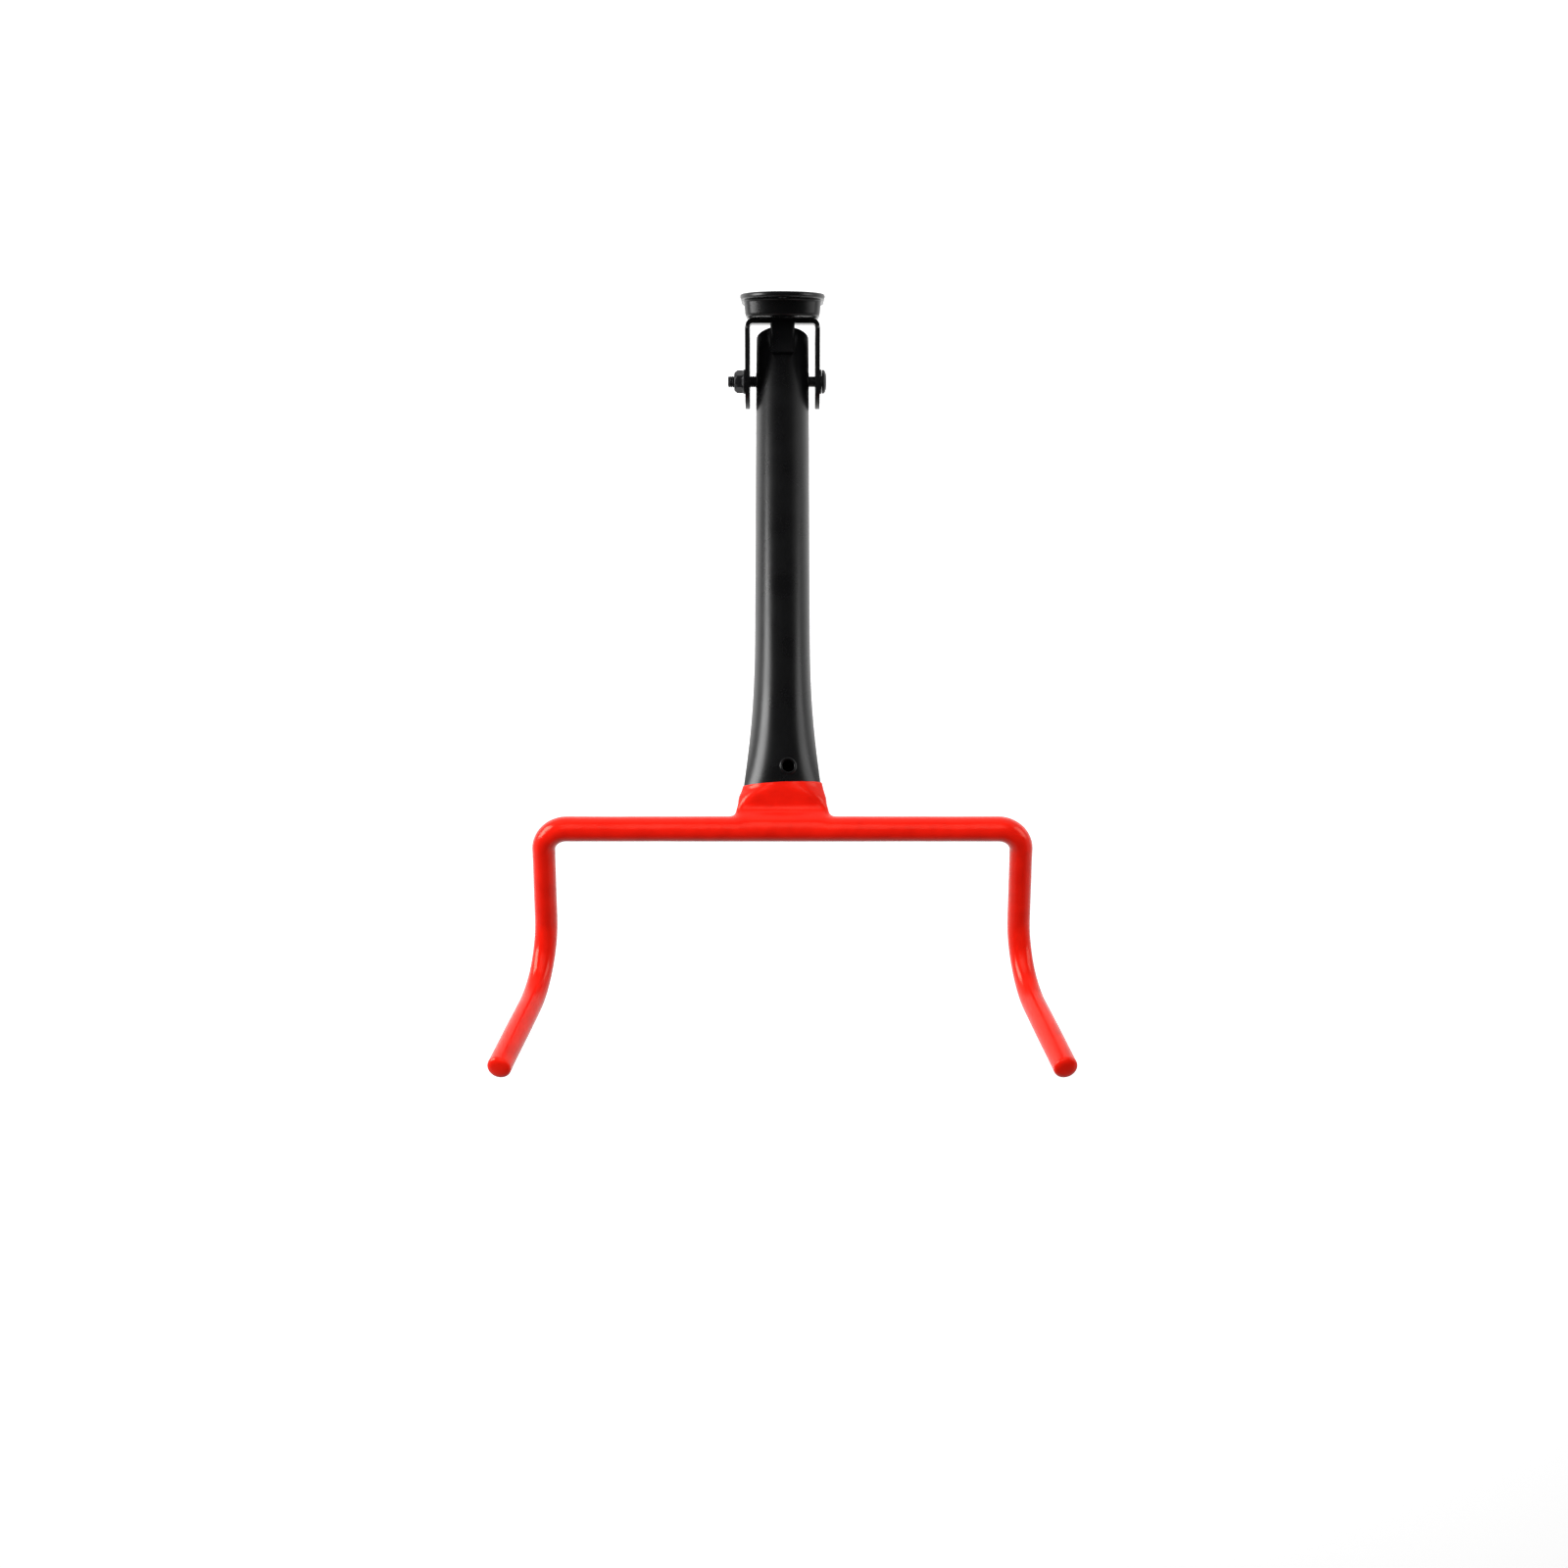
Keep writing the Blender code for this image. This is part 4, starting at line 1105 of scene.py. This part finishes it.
@dataclass
class ArmTube:
    """The round tube that flares, flattens into two shallow arcs and is pressed together at its end."""

    diameter: float = 35 * MM
    wall: float = 2.0 * MM
    start: float = -31.7 * MM
    end: float = 302.7 * MM
    flare_length: float = 128.9 * MM
    flare_power: float = 2.9
    flare_deg: float = 58.0
    press_length: float = 12.5 * MM
    press_soft: float = 0.6
    flat_length: float = 8.8 * MM
    flat_bow_deg: float = 2.0
    flat_slot: float = 0.5 * MM
    edge_share: float = 0.14
    rim_round: float = 0.7 * MM
    cross_bore: float = 12.6 * MM
    vent_diameter: float = 7.6 * MM
    vent_from_end: float = 31.6 * MM
    vent_offset: float = 3.6 * MM
    vent_lip: float = 0.80 * MM
    lip_spread: float = 0.9
    lip_sink: float = 0.30
    columns: int = 160
    spacing: float = 2.5 * MM
    press_spacing: float = 0.5 * MM
    rim_count: int = 7
    cross_sides: int = 72
    vent_sides: int = 64
    lip_counts: tuple[int, int] = (96, 20)
    lip_sharp_deg: float = 60.0
    sharp_deg: float = 34.0

    @property
    def press_start(self) -> float:
        """Place along the arm where the press starts."""
        return self.end - self.flat_length - self.press_length

    def pressed(self, along: Array) -> Array:
        """Gives 0 where the tube isn't pressed, 1 where it is flat, and a change with soft ends between."""
        share = np.clip((along - self.press_start) / self.press_length, 0.0, 1.0)
        return share + self.press_soft * (ease(share) - share)

    def section(self, along: Array) -> tuple[Array, Array, Array]:
        """Gives the section's half angle, radius and spread.

        Formula: the wall's middle line is two arcs, which bend back by a power of the distance and are then
        pressed together, with the girth kept; the spread moves each arc off the middle.

        Args:
            along: places along the arm.

        Returns:
            Half angle of each arc, its radius, and its distance from the middle.
        """
        pressed = self.pressed(along)
        begin = self.end - self.flat_length - self.flare_length
        flared = np.clip((along - begin) / self.flare_length, 0.0, 1.0)
        bend = QUARTER - math.radians(self.flare_deg) * flared ** self.flare_power
        bend = bend + (math.radians(self.flat_bow_deg) - bend) * pressed
        spread = (self.wall + self.flat_slot) / 2 * pressed
        girth = math.pi * (self.diameter - self.wall)
        return bend, (girth - TURN * spread) / (4 * bend), spread

    def half_width(self, along: Array) -> Array:
        """Gives half the tube's outer width. Formula: R sin(bend) + spread + half the wall."""
        bend, radius, spread = self.section(along)
        return radius * np.sin(bend) + spread + self.wall / 2

    def loops(self, along: Array, offset: Array) -> Array:
        """Gives loops square to the arm, at offsets from the wall's middle line.

        Formula: an arc's points are (R + offset) (sin t, cos t) about its own centre; past its half angle, an
        outer loop turns round the edge and an inner one stops where its arcs meet.

        Args:
            along: place of each loop along the arm.
            offset: each loop's offset, outwards from the wall's middle line.

        Returns:
            A grid of points in the arm's frame.
        """
        bend, radius, spread = (part[:, None] for part in self.section(along))
        out = offset[:, None]
        count = self.columns // 4
        share = (np.arange(count) + 0.5)[None, :] / count
        on_arc = 1 - self.edge_share * (1 - bend / QUARTER)
        past = np.clip((share - on_arc) / np.clip(1 - on_arc, 1e-6, None), 0.0, 1.0)
        outer = np.where(share <= on_arc, bend * share / on_arc, bend + (QUARTER - bend) * past)
        drop = radius * np.cos(bend) - spread
        meet = np.arccos(np.clip(drop / (radius + out), -1.0, 1.0))
        tilt = np.where(out < 0, np.minimum(meet, bend) * share, outer)
        at_edge = tilt > bend
        reach = np.where(at_edge, spread, radius) + out
        x = reach * np.sin(tilt) + np.where(at_edge, radius * np.sin(bend), 0.0)
        lift = reach * np.cos(tilt) - np.where(at_edge, 0.0, drop)
        x = np.concatenate([x[:, ::-1], -x, -x[:, ::-1], x], axis=1)
        lift = np.concatenate([lift[:, ::-1], lift, -lift[:, ::-1], -lift], axis=1)
        return np.stack([x, np.broadcast_to(along[:, None], x.shape), lift], axis=-1)

    def crown(self, x: Array, along: Array, offset: float) -> Array:
        """Gives the upper surface's lift. Formula: sqrt((R + offset)^2 - x^2) less the arc centre's drop.

        Args:
            x: places across the arm.
            along: places along the arm.
            offset: how far the surface lies outside the wall's middle line.

        Returns:
            The lift at each place.
        """
        bend, radius, spread = self.section(along)
        drop = radius * np.cos(bend) - spread
        return np.sqrt(np.clip((radius + offset) ** 2 - x ** 2, 0.0, None)) - drop

    def shell(self) -> Piece:
        """Makes the tube with its bore, the sleeve's cross hole and the vent.

        Returns:
            The tube.
        """
        half = self.wall / 2
        close = self.press_start - 2 * self.spacing
        plain = np.arange(self.start + self.rim_round, close, self.spacing)
        body = np.concatenate([plain, np.arange(close, self.end, self.press_spacing), [self.end]])
        back, lost = (rounding(self.rim_round, self.rim_count) + (self.start, 0.0)).T
        along = np.concatenate([body, body[::-1], back[1:], back[::-1][:-1]])
        edges = [np.full(len(body), half), np.full(len(body), -half), lost[1:] - half, half - lost[::-1][:-1]]
        tube = skin("arm_tube_drawn", ARM.world(self.loops(along, np.concatenate(edges))), ring=True)
        circle = circle_points(self.cross_bore / 2, self.cross_sides, PIVOT[1:])
        cross = bar("cross_hole", circle, -self.diameter, self.diameter, axis=0)
        combine(tube, [cross, self.vent_tool()], "DIFFERENCE")
        smooth(tube, self.sharp_deg)
        return tube

    def vent_tool(self) -> Piece:
        """Makes the cutter of the vent hole, square to the arm.

        Returns:
            The cutter.
        """
        centre = (self.vent_offset, self.end - self.vent_from_end)
        plan = circle_points(self.vent_diameter / 2, self.vent_sides, centre)
        ends = [np.insert(plan, 2, lift, axis=1) for lift in (0.0, self.diameter)]
        return skin("vent_tool", ARM.world(np.stack(ends)))

    def vent_edge(self) -> Piece:
        """Makes the rounded lip of coat round the vent.

        Formula: a thin ring whose middle follows a circle round the hole on the tube's upper surface.

        Returns:
            The lip.
        """
        a, b = (TURN * np.arange(count) / count for count in self.lip_counts)
        a = a[:, None]
        lip = self.vent_lip
        reach = self.vent_diameter / 2 + lip * (self.lip_spread + np.cos(b))
        x = self.vent_offset + reach * np.cos(a)
        along = self.end - self.vent_from_end + reach * np.sin(a)
        lift = self.crown(x, along, self.wall / 2) + lip * (np.sin(b) - self.lip_sink)
        edge = skin("vent_lip", ARM.world(np.stack([x, along, lift], axis=-1)), ring=True)
        smooth(edge, self.lip_sharp_deg)
        return edge

    def build(self, finishes: Finishes) -> None:
        """Makes the tube and the vent's lip, and dresses them and the sleeve."""
        finishes.dress(self.shell(), Slot.BLACK, Body.ARM, "arm_tube")
        finishes.dress(self.vent_edge(), Slot.BLACK, Body.ARM)
        finishes.dress_node("pivot_sleeve", Slot.STEEL)


# Fork

@dataclass
class BentPath:
    """A line of straight runs joined by round bends, read at any distance from its start."""

    corners: Array
    radii: Sequence[float]
    side: Array
    runs: list = field(init=False)
    length: float = field(init=False)

    def __post_init__(self) -> None:
        """Splits the line into runs: distance, start, tangent, side, and a bend's axis and centre."""
        self.runs = []
        here = self.corners[0]
        side = self.side
        done = 0.0
        turns = zip(self.corners, self.corners[1:], self.corners[2:], self.radii)
        for before, corner, after, radius in turns:
            back = unit(before - corner)
            ahead = unit(after - corner)
            half = math.acos(float(back @ ahead)) / 2
            start = corner + back * (radius / math.tan(half))
            centre = corner + unit(back + ahead) * (radius / math.sin(half))
            axis = unit(np.cross(-back, ahead))
            straight = float(np.linalg.norm(start - here))
            bend = math.pi - 2 * half
            self.runs.append((done, here, -back, side, None, None))
            self.runs.append((done + straight, start, -back, side, axis, centre))
            done += straight + bend * radius
            side = turned_about(side, axis, np.array([bend]))[0]
            here = corner + ahead * (radius / math.tan(half))
        tangent = unit(self.corners[-1] - here)
        self.runs.append((done, here, tangent, side, None, None))
        self.length = done + float(np.linalg.norm(self.corners[-1] - here))

    def at(self, distance: Array) -> tuple[Array, Array, Array]:
        """Reads the line.

        Args:
            distance: distances from its start.

        Returns:
            Points, tangents and sides, one row for each distance.
        """
        point = np.zeros((len(distance), 3))
        tangent = np.zeros_like(point)
        side = np.zeros_like(point)
        for begin, start, ahead, beside, axis, centre in self.runs:
            here = distance >= begin
            past = distance[here] - begin
            if axis is None:
                point[here] = start + past[:, None] * ahead
                tangent[here] = ahead
                side[here] = beside
            else:
                angle = past / np.linalg.norm(start - centre)
                point[here] = centre + turned_about(start - centre, axis, angle)
                tangent[here] = turned_about(ahead, axis, angle)
                side[here] = turned_about(beside, axis, angle)
        return point, tangent, side


@dataclass
class DippedFork:
    """The bent rod's thick coat, from tip to tip, and the block of coat round the tube's flat end.

    The fields whose names start with guess place the block's points before they settle on its surface.
    """

    rod_radius: float = 5.0 * MM
    bar_reach: float = 308 * MM
    width: float = 295.4 * MM
    corner_radius: float = 15 * MM
    valley_radius: float = 40 * MM
    drop_deg: float = 46.1
    drop_length: float = 105 * MM
    rise_deg: float = 43.4
    rise_length: float = 105.6 * MM
    splay_inner_deg: float = 1.7
    splay_outer_deg: float = 10.45
    coat_on_bar: float = 2.85 * MM
    coat_on_prong: float = 2.20 * MM
    coat_blend: float = 30 * MM
    coat_gain: float = 0.30 * MM
    gain_reach: float = 60 * MM
    coat_on_tube: float = 1.4 * MM
    tip_length: float = 3.4 * MM
    tip_power: float = 2.7
    weld_crest: float = 5.4 * MM
    weld_slope: float = 0.27
    valley_round: float = 2.4 * MM
    face_top: float = 11.9 * MM
    face_slope: float = 0.62
    shoulder_deg: Pair = (44.0, 41.0)
    shoulder_from_bar: float = 12 * MM
    block_stop: float = 3.0 * MM
    block_width: float = 57.2 * MM
    block_zone: float = 46 * MM
    panel_round: float = 2.2 * MM
    fillet: float = 5.0 * MM
    dip_from_end: float = 23.4 * MM
    dip_round: float = 0.5 * MM
    dip_lean: float = 0.11
    dip_slant: float = 0.05
    slant_reach: float = 9.0 * MM
    dip_taper: float = 16.0 * MM
    dip_thin: float = 0.40
    dip_wave: float = 0.25 * MM
    dip_wave_run: float = 7 * MM
    dip_wave_start: float = 0.6
    wave_depth: float = 0.11 * MM
    wave_start: float = 0.8
    guess_fade: Pair = (4 * MM, 10 * MM)
    guess_taper: Pair = (5 * MM, 6 * MM)
    guess_back: float = 8 * MM
    guess_edge: float = 0.26
    guess_height: Pair = (1.5 * MM, 14 * MM)
    front_columns: int = 26
    back_columns: int = 46
    tip_rows: int = 16
    row_marks: Pair = (22 * MM, 36 * MM)
    row_counts: tuple[int, int, int, int] = (20, 62, 12, 250)
    sharp_deg: float = 50.0
    settle_rounds: int = 14
    settle_step: float = 0.02 * MM
    settle_damping: float = 0.85
    settle_least_slope: float = 0.2
    tube: ArmTube = field(default_factory=ArmTube)

    def half_path(self) -> BentPath:
        """Gives the rod's line from the crossbar's middle to the right tip, in the arm's frame.

        Returns:
            The line.
        """
        middle = np.array([0.0, self.bar_reach, 0.0])
        corner = np.array([self.width / 2, self.bar_reach, 0.0])
        valley = corner + heading(self.splay_inner_deg, -self.drop_deg) * self.drop_length
        tip = valley + heading(self.splay_outer_deg, self.rise_deg) * self.rise_length
        corners = np.stack([middle, corner, valley, tip])
        return BentPath(corners, (self.corner_radius, self.valley_radius), np.array([0.0, 0.0, 1.0]))

    def stations(self, path: BentPath) -> Array:
        """Gives distances from the crossbar's middle, closest together at the block's shoulders.

        Args:
            path: the rod's line.

        Returns:
            Distances up to where the tip begins.
        """
        marks = (0.0, *self.row_marks, self.block_zone)
        runs = [np.linspace(a, b, n, endpoint=False) for a, b, n in zip(marks, marks[1:], self.row_counts)]
        rest = np.linspace(self.block_zone, path.length - self.tip_length, self.row_counts[-1])
        return np.concatenate([*runs, rest])

    def radius(self, distance: Array) -> Array:
        """Gives the coat's radius along the rod.

        Formula: it eases from the crossbar's to the prong's, which gains a little past the valley, where the
        liquid ran to the tip.

        Args:
            distance: places along the rod.

        Returns:
            The radius at each place.
        """
        past = distance - (self.width / 2 - self.corner_radius)
        coat = self.coat_on_bar + (self.coat_on_prong - self.coat_on_bar) * ease(past / self.coat_blend)
        return self.rod_radius + coat + self.coat_gain * ease((past - self.drop_length) / self.gain_reach)

    def circles(self, path: BentPath, distance: Array, scale: Array) -> Array:
        """Gives circles square to the rod. Formula: centre + r (side cos a + other sin a).

        Args:
            path: the rod's line.
            distance: places along it.
            scale: share of the coat's radius at each place.

        Returns:
            A grid of points; its first columns face away from the tube.
        """
        centre, tangent, side = path.at(np.minimum(distance, path.length))
        other = np.cross(tangent, side)
        front = np.linspace(0.0, math.pi, self.front_columns, endpoint=False)
        back = np.linspace(math.pi, TURN, self.back_columns, endpoint=False)
        a = np.concatenate([front, back])[None, :, None]
        radius = (self.radius(distance) * scale)[:, None, None]
        ring = side[:, None] * np.cos(a) - other[:, None] * np.sin(a)
        return centre[:, None] + radius * ring

    def block_guess(self, grid: Array, x: Array) -> Array:
        """Draws the back of the circles near the middle out towards the dip line, as a first guess.

        Formula: each back column slides to its place on the tube's crown, or on the coat's edge behind it.

        Args:
            grid: the circles' points in the arm's frame.
            x: place of each row across the arm.

        Returns:
            The changed grid.
        """
        past = x - self.block_width / 2
        fade, taper = (1 - ease((past + lead) / run) for lead, run in (self.guess_fade, self.guess_taper))
        back = self.guess_back + (self.bar_reach - self.dip_base - self.guess_back) * taper
        s = np.linspace(-1.0, 1.0, self.back_columns + 1)[:-1]
        flat = np.clip((1 - np.abs(s)) / (1 - self.guess_edge), 0.0, 1.0)
        along = self.bar_reach - back[:, None] * flat
        crown = self.tube.crown(x[:, None], along, self.tube.wall / 2 + self.coat_on_tube)
        height = np.clip(crown, *self.guess_height) * np.clip(s / self.guess_edge, -1.0, 1.0)
        out = grid.copy()
        behind = out[:, self.front_columns:]
        behind[..., 1:] += (np.stack([along, height], axis=-1) - behind[..., 1:]) * fade[:, None, None]
        return out

    @property
    def dip_base(self) -> float:
        """Place of the dip line along the arm, at the tube's sides."""
        return self.tube.end - self.dip_from_end

    def dip_line(self, x: Array, lift: Array) -> Array:
        """Gives the dip line's place along the arm: it leans with the lift and waves across the tube."""
        wave = self.dip_wave * np.sin(x / self.dip_wave_run + self.dip_wave_start)
        return self.dip_base + self.dip_lean * lift + wave

    def section_gap(self, x: Array, along: Array, lift: Array) -> Array:
        """Gives the signed distance to the block's cross-section.

        Formula: the tube's section grown by the coat, which is thin at the dip line, and widened towards the
        bar. Its arcs bend at least by the shoulder's angle and end in a small round.

        Args:
            x: places across the arm.
            along: places along the arm.
            lift: lifts above the arm's middle.

        Returns:
            Distances, less than 0 inside.
        """
        bend, radius, spread = self.tube.section(along)
        grown = ease((along - self.dip_base) / self.dip_taper)
        offset = self.tube.wall / 2 + self.coat_on_tube * (self.dip_thin + (1 - self.dip_thin) * grown)
        edge = radius * np.sin(bend)
        shoulder = self.bar_reach - self.shoulder_from_bar
        share = np.clip((along - self.dip_base) / (shoulder - self.dip_base), 0.0, 1.0)
        first = self.tube.half_width(self.dip_base) + self.coat_on_tube / 2
        wanted = first + (self.block_width / 2 - first) * share
        across = np.abs(x) / np.maximum(wanted / (edge + spread + offset), 1.0)
        past = np.clip((along - self.tube.press_start) / self.tube.press_length, 0.0, 1.0)
        full = np.maximum(bend, np.radians(np.interp(past, (0.0, 1.0), self.shoulder_deg)))
        up = np.abs(lift)
        drop = edge / np.tan(full)
        on_arc = np.hypot(across, up + drop) - (edge / np.sin(full) + spread + offset)
        on_edge = np.hypot(across - edge, up) - (spread + offset)
        return np.where(np.arctan2(across, up + drop) <= full, on_arc, on_edge)

    def distance(self, points: Array) -> Array:
        """Gives the signed distance to the coat near the crossbar's middle.

        Formula: the crossbar's cylinder joined to the block by a fillet. The block is its cross-section, cut
        by the die's slanting face, which turns into the weld's slope, and cut with a small round at the dip
        line.

        Args:
            points: (x, along, lift) in the last axis.

        Returns:
            Distances, less than 0 inside.
        """
        x, along, lift = np.moveaxis(points, -1, 0)
        bar_gap = np.hypot(along - self.bar_reach, lift) - (self.rod_radius + self.coat_on_bar)
        face = self.face_top - self.face_slope * (along - self.tube.press_start)
        weld = self.weld_crest - self.weld_slope * (self.bar_reach - self.rod_radius - along)
        panel_gap = np.abs(lift) - blend_most(face, weld, self.valley_round)
        block_gap = blend_most(self.section_gap(x, along, lift), panel_gap, self.panel_round)
        block_gap = blend_most(block_gap, self.dip_line(x, lift) - along, self.dip_round)
        block_gap = np.maximum(block_gap, along - (self.bar_reach - self.block_stop))
        return blend_least(bar_gap, block_gap, self.fillet)

    def settle(self, points: Array) -> Array:
        """Moves points onto the coat's surface. Formula: damped Newton steps along the distance's slope.

        Args:
            points: points near the surface.

        Returns:
            Points on it.
        """
        step = self.settle_step
        for _ in range(self.settle_rounds):
            rises = [self.distance(points + off) - self.distance(points - off) for off in np.eye(3) * step]
            slope = np.stack(rises, axis=-1) / (2 * step)
            size = np.clip((slope ** 2).sum(axis=-1), self.settle_least_slope, None)
            points = points - self.settle_damping * (self.distance(points) / size)[..., None] * slope
        return points

    def waves(self, points: Array) -> Array:
        """Gives the coat's slow unevenness, from 0 to 1. Formula: the mean of three sines across space."""
        slow = np.array([(90.0, 140.0, 60.0), (-160.0, 75.0, 120.0), (40.0, -210.0, 170.0)])
        return 0.5 + np.sin(points @ slow.T + (0.4, 2.1, 4.4)).mean(axis=-1) / 2

    def skin_grid(self) -> Array:
        """Gives the coat's points from the left tip to the right tip.

        Formula: the right half and its mirror image, with the dip line slid along the arm by a slope times x.

        Returns:
            A grid of points in the arm's frame.
        """
        path = self.half_path()
        distance = self.stations(path)
        t = np.linspace(0.0, 1.0, self.tip_rows)[1:-1]
        far = np.concatenate([distance, path.length - self.tip_length * (1 - t)])
        scale = np.concatenate([np.ones(len(distance)), (1 - t ** self.tip_power) ** (1 / self.tip_power)])
        half = self.circles(path, far, scale)
        near = far < self.block_zone
        half[near] = self.settle(self.block_guess(half[near], far[near]))
        centre = path.at(far)[0][:, None]
        loss = self.wave_depth * ease(far / self.block_zone - self.wave_start)[:, None] * self.waves(half)
        half = half - loss[..., None] * unit(half - centre)
        grid = np.concatenate([half[:0:-1] * (-1, 1, 1), half])
        held = 1 - ease((grid[..., 1] - self.dip_base) / self.slant_reach)
        grid[..., 1] -= self.dip_slant * grid[..., 0] * held
        return grid

    def build(self, finishes: Finishes) -> None:
        """Makes the coat as one closed surface and dresses it and the rod inside."""
        coat = skin("fork_coating_dip", ARM.world(self.skin_grid()))
        smooth(coat, self.sharp_deg)
        finishes.dress(coat, Slot.RED, Body.ARM, "fork_coating")
        finishes.dress_node("fork_rod", Slot.STEEL)


# Studio

@dataclass(frozen=True)
class SoftBox:
    """A rectangular lamp that faces a point. A brightness of 1 is the radiance of white."""

    name: str
    place: Point
    size: Pair
    brightness: float
    shows_in_gloss: bool = True
    aim: Point = (0.0, -0.25, 0.08)

    def build(self) -> None:
        """Makes the lamp."""
        data = bpy.data.lights.new(self.name, "AREA")
        data.shape = "RECTANGLE"
        data.size, data.size_y = self.size
        data.energy = self.brightness * math.pi * self.size[0] * self.size[1]
        lamp = bpy.data.objects.new(self.name, data)
        lamp.location = self.place
        direction = Vector(self.aim) - Vector(self.place)
        lamp.rotation_euler = direction.to_track_quat("-Z", "Y").to_euler()
        lamp.visible_glossy = self.shows_in_gloss
        bpy.context.scene.collection.objects.link(lamp)


@dataclass
class Studio:
    """The floor, the lamps, the pale surroundings and the camera."""

    floor_height: float = -0.55
    floor_size: float = 12.0
    floor_colour: Colour = (0.86, 0.86, 0.86)
    floor_roughness: float = 0.9
    floor_gloss: float = 0.1
    floor_lift: float = 0.60
    horizon: float = 0.55
    zenith: float = 0.03
    horizon_band: Pair = (0.05, 0.50)
    lens: float = 45.0
    sensor: float = 36.0
    clip: Pair = (0.02, 50.0)
    tilt_deg: float = -9.5
    eye_above_pivot: float = 1.300
    eye_out_of_wall: float = -0.2668
    eye_across: float = 0.0010
    lamps: tuple[SoftBox, ...] = (
        SoftBox("overhead", (0.0, 0.72, 1.68), (1.7, 1.3), 4.5, shows_in_gloss=False),
        SoftBox("left_box", (-1.35, 0.14, 0.47), (0.97, 0.70), 9.0),
        SoftBox("right_box", (1.35, 0.08, 0.47), (0.85, 0.70), 2.2),
    )

    def camera(self) -> None:
        """Makes the camera, which looks down along the wall with a small tilt outwards."""
        tilt = math.radians(self.tilt_deg)
        data = bpy.data.cameras.new("camera")
        data.lens = self.lens
        data.sensor_width = self.sensor
        data.clip_start, data.clip_end = self.clip
        eye = bpy.data.objects.new("camera", data)
        out, above = self.eye_out_of_wall, self.eye_above_pivot
        y = out * math.cos(tilt) - above * math.sin(tilt)
        z = out * math.sin(tilt) + above * math.cos(tilt)
        eye.location = PIVOT + (self.eye_across, y, z)
        eye.rotation_euler = (tilt, 0.0, 0.0)
        bpy.context.scene.collection.objects.link(eye)
        bpy.context.scene.camera = eye

    def floor(self) -> None:
        """Makes the pale floor, which the camera sees as white where no shadow lies."""
        half = self.floor_size / 2
        corners = np.array([(-half, -half), (half, -half), (half, half), (-half, half)])
        floor = add_piece("floor", np.insert(corners, 2, self.floor_height, axis=1), [(0, 1, 2, 3)])
        material = bpy.data.materials.new("floor")
        graph = Graph(material)
        rays = graph.tree.nodes.new("ShaderNodeLightPath").outputs
        seen = graph.sum([rays["Is Camera Ray"], rays["Is Glossy Ray"], rays["Is Transmission Ray"]])
        inputs = {
            "Base Color": (*self.floor_colour, 1.0),
            "Roughness": self.floor_roughness,
            "Specular IOR Level": self.floor_gloss,
            "Emission Color": WHITE,
            "Emission Strength": graph.spread(seen, 0.0, self.floor_lift, start=0.0, end=1.0),
        }
        graph.fill(graph.shader, inputs)
        floor.data.materials.append(material)

    def surroundings(self) -> None:
        """Makes the world: pale at and below the horizon, dim overhead."""
        world = bpy.data.worlds.new("studio")
        graph = Graph(world, "Background")
        height = graph.add("SeparateXYZ", "Z", {"Vector": graph.place["Generated"]})
        low, high = self.horizon_band
        inputs = {"Value": height, "From Min": low, "From Max": high}
        inputs |= {"To Min": self.horizon, "To Max": self.zenith}
        strength = graph.add("MapRange", "Result", inputs, interpolation_type="SMOOTHSTEP")
        graph.fill(graph.shader, {"Color": WHITE, "Strength": strength})
        bpy.context.scene.world = world

    def build(self) -> None:
        """Makes everything round the rack."""
        self.camera()
        self.floor()
        self.surroundings()
        for lamp in self.lamps:
            lamp.build()
        bpy.context.scene.view_settings.view_transform = "Standard"


def main() -> None:
    """Builds the studio, then the rack from the wall outwards."""
    logging.basicConfig(level=logging.INFO, format="%(message)s")
    Studio().build()
    finishes = Finishes()
    for part in (WallPlate(), HingeBracket(), Welds(), PivotHardware(), ArmTube(), DippedFork()):
        part.build(finishes)


if __name__ == "__main__":
    main()
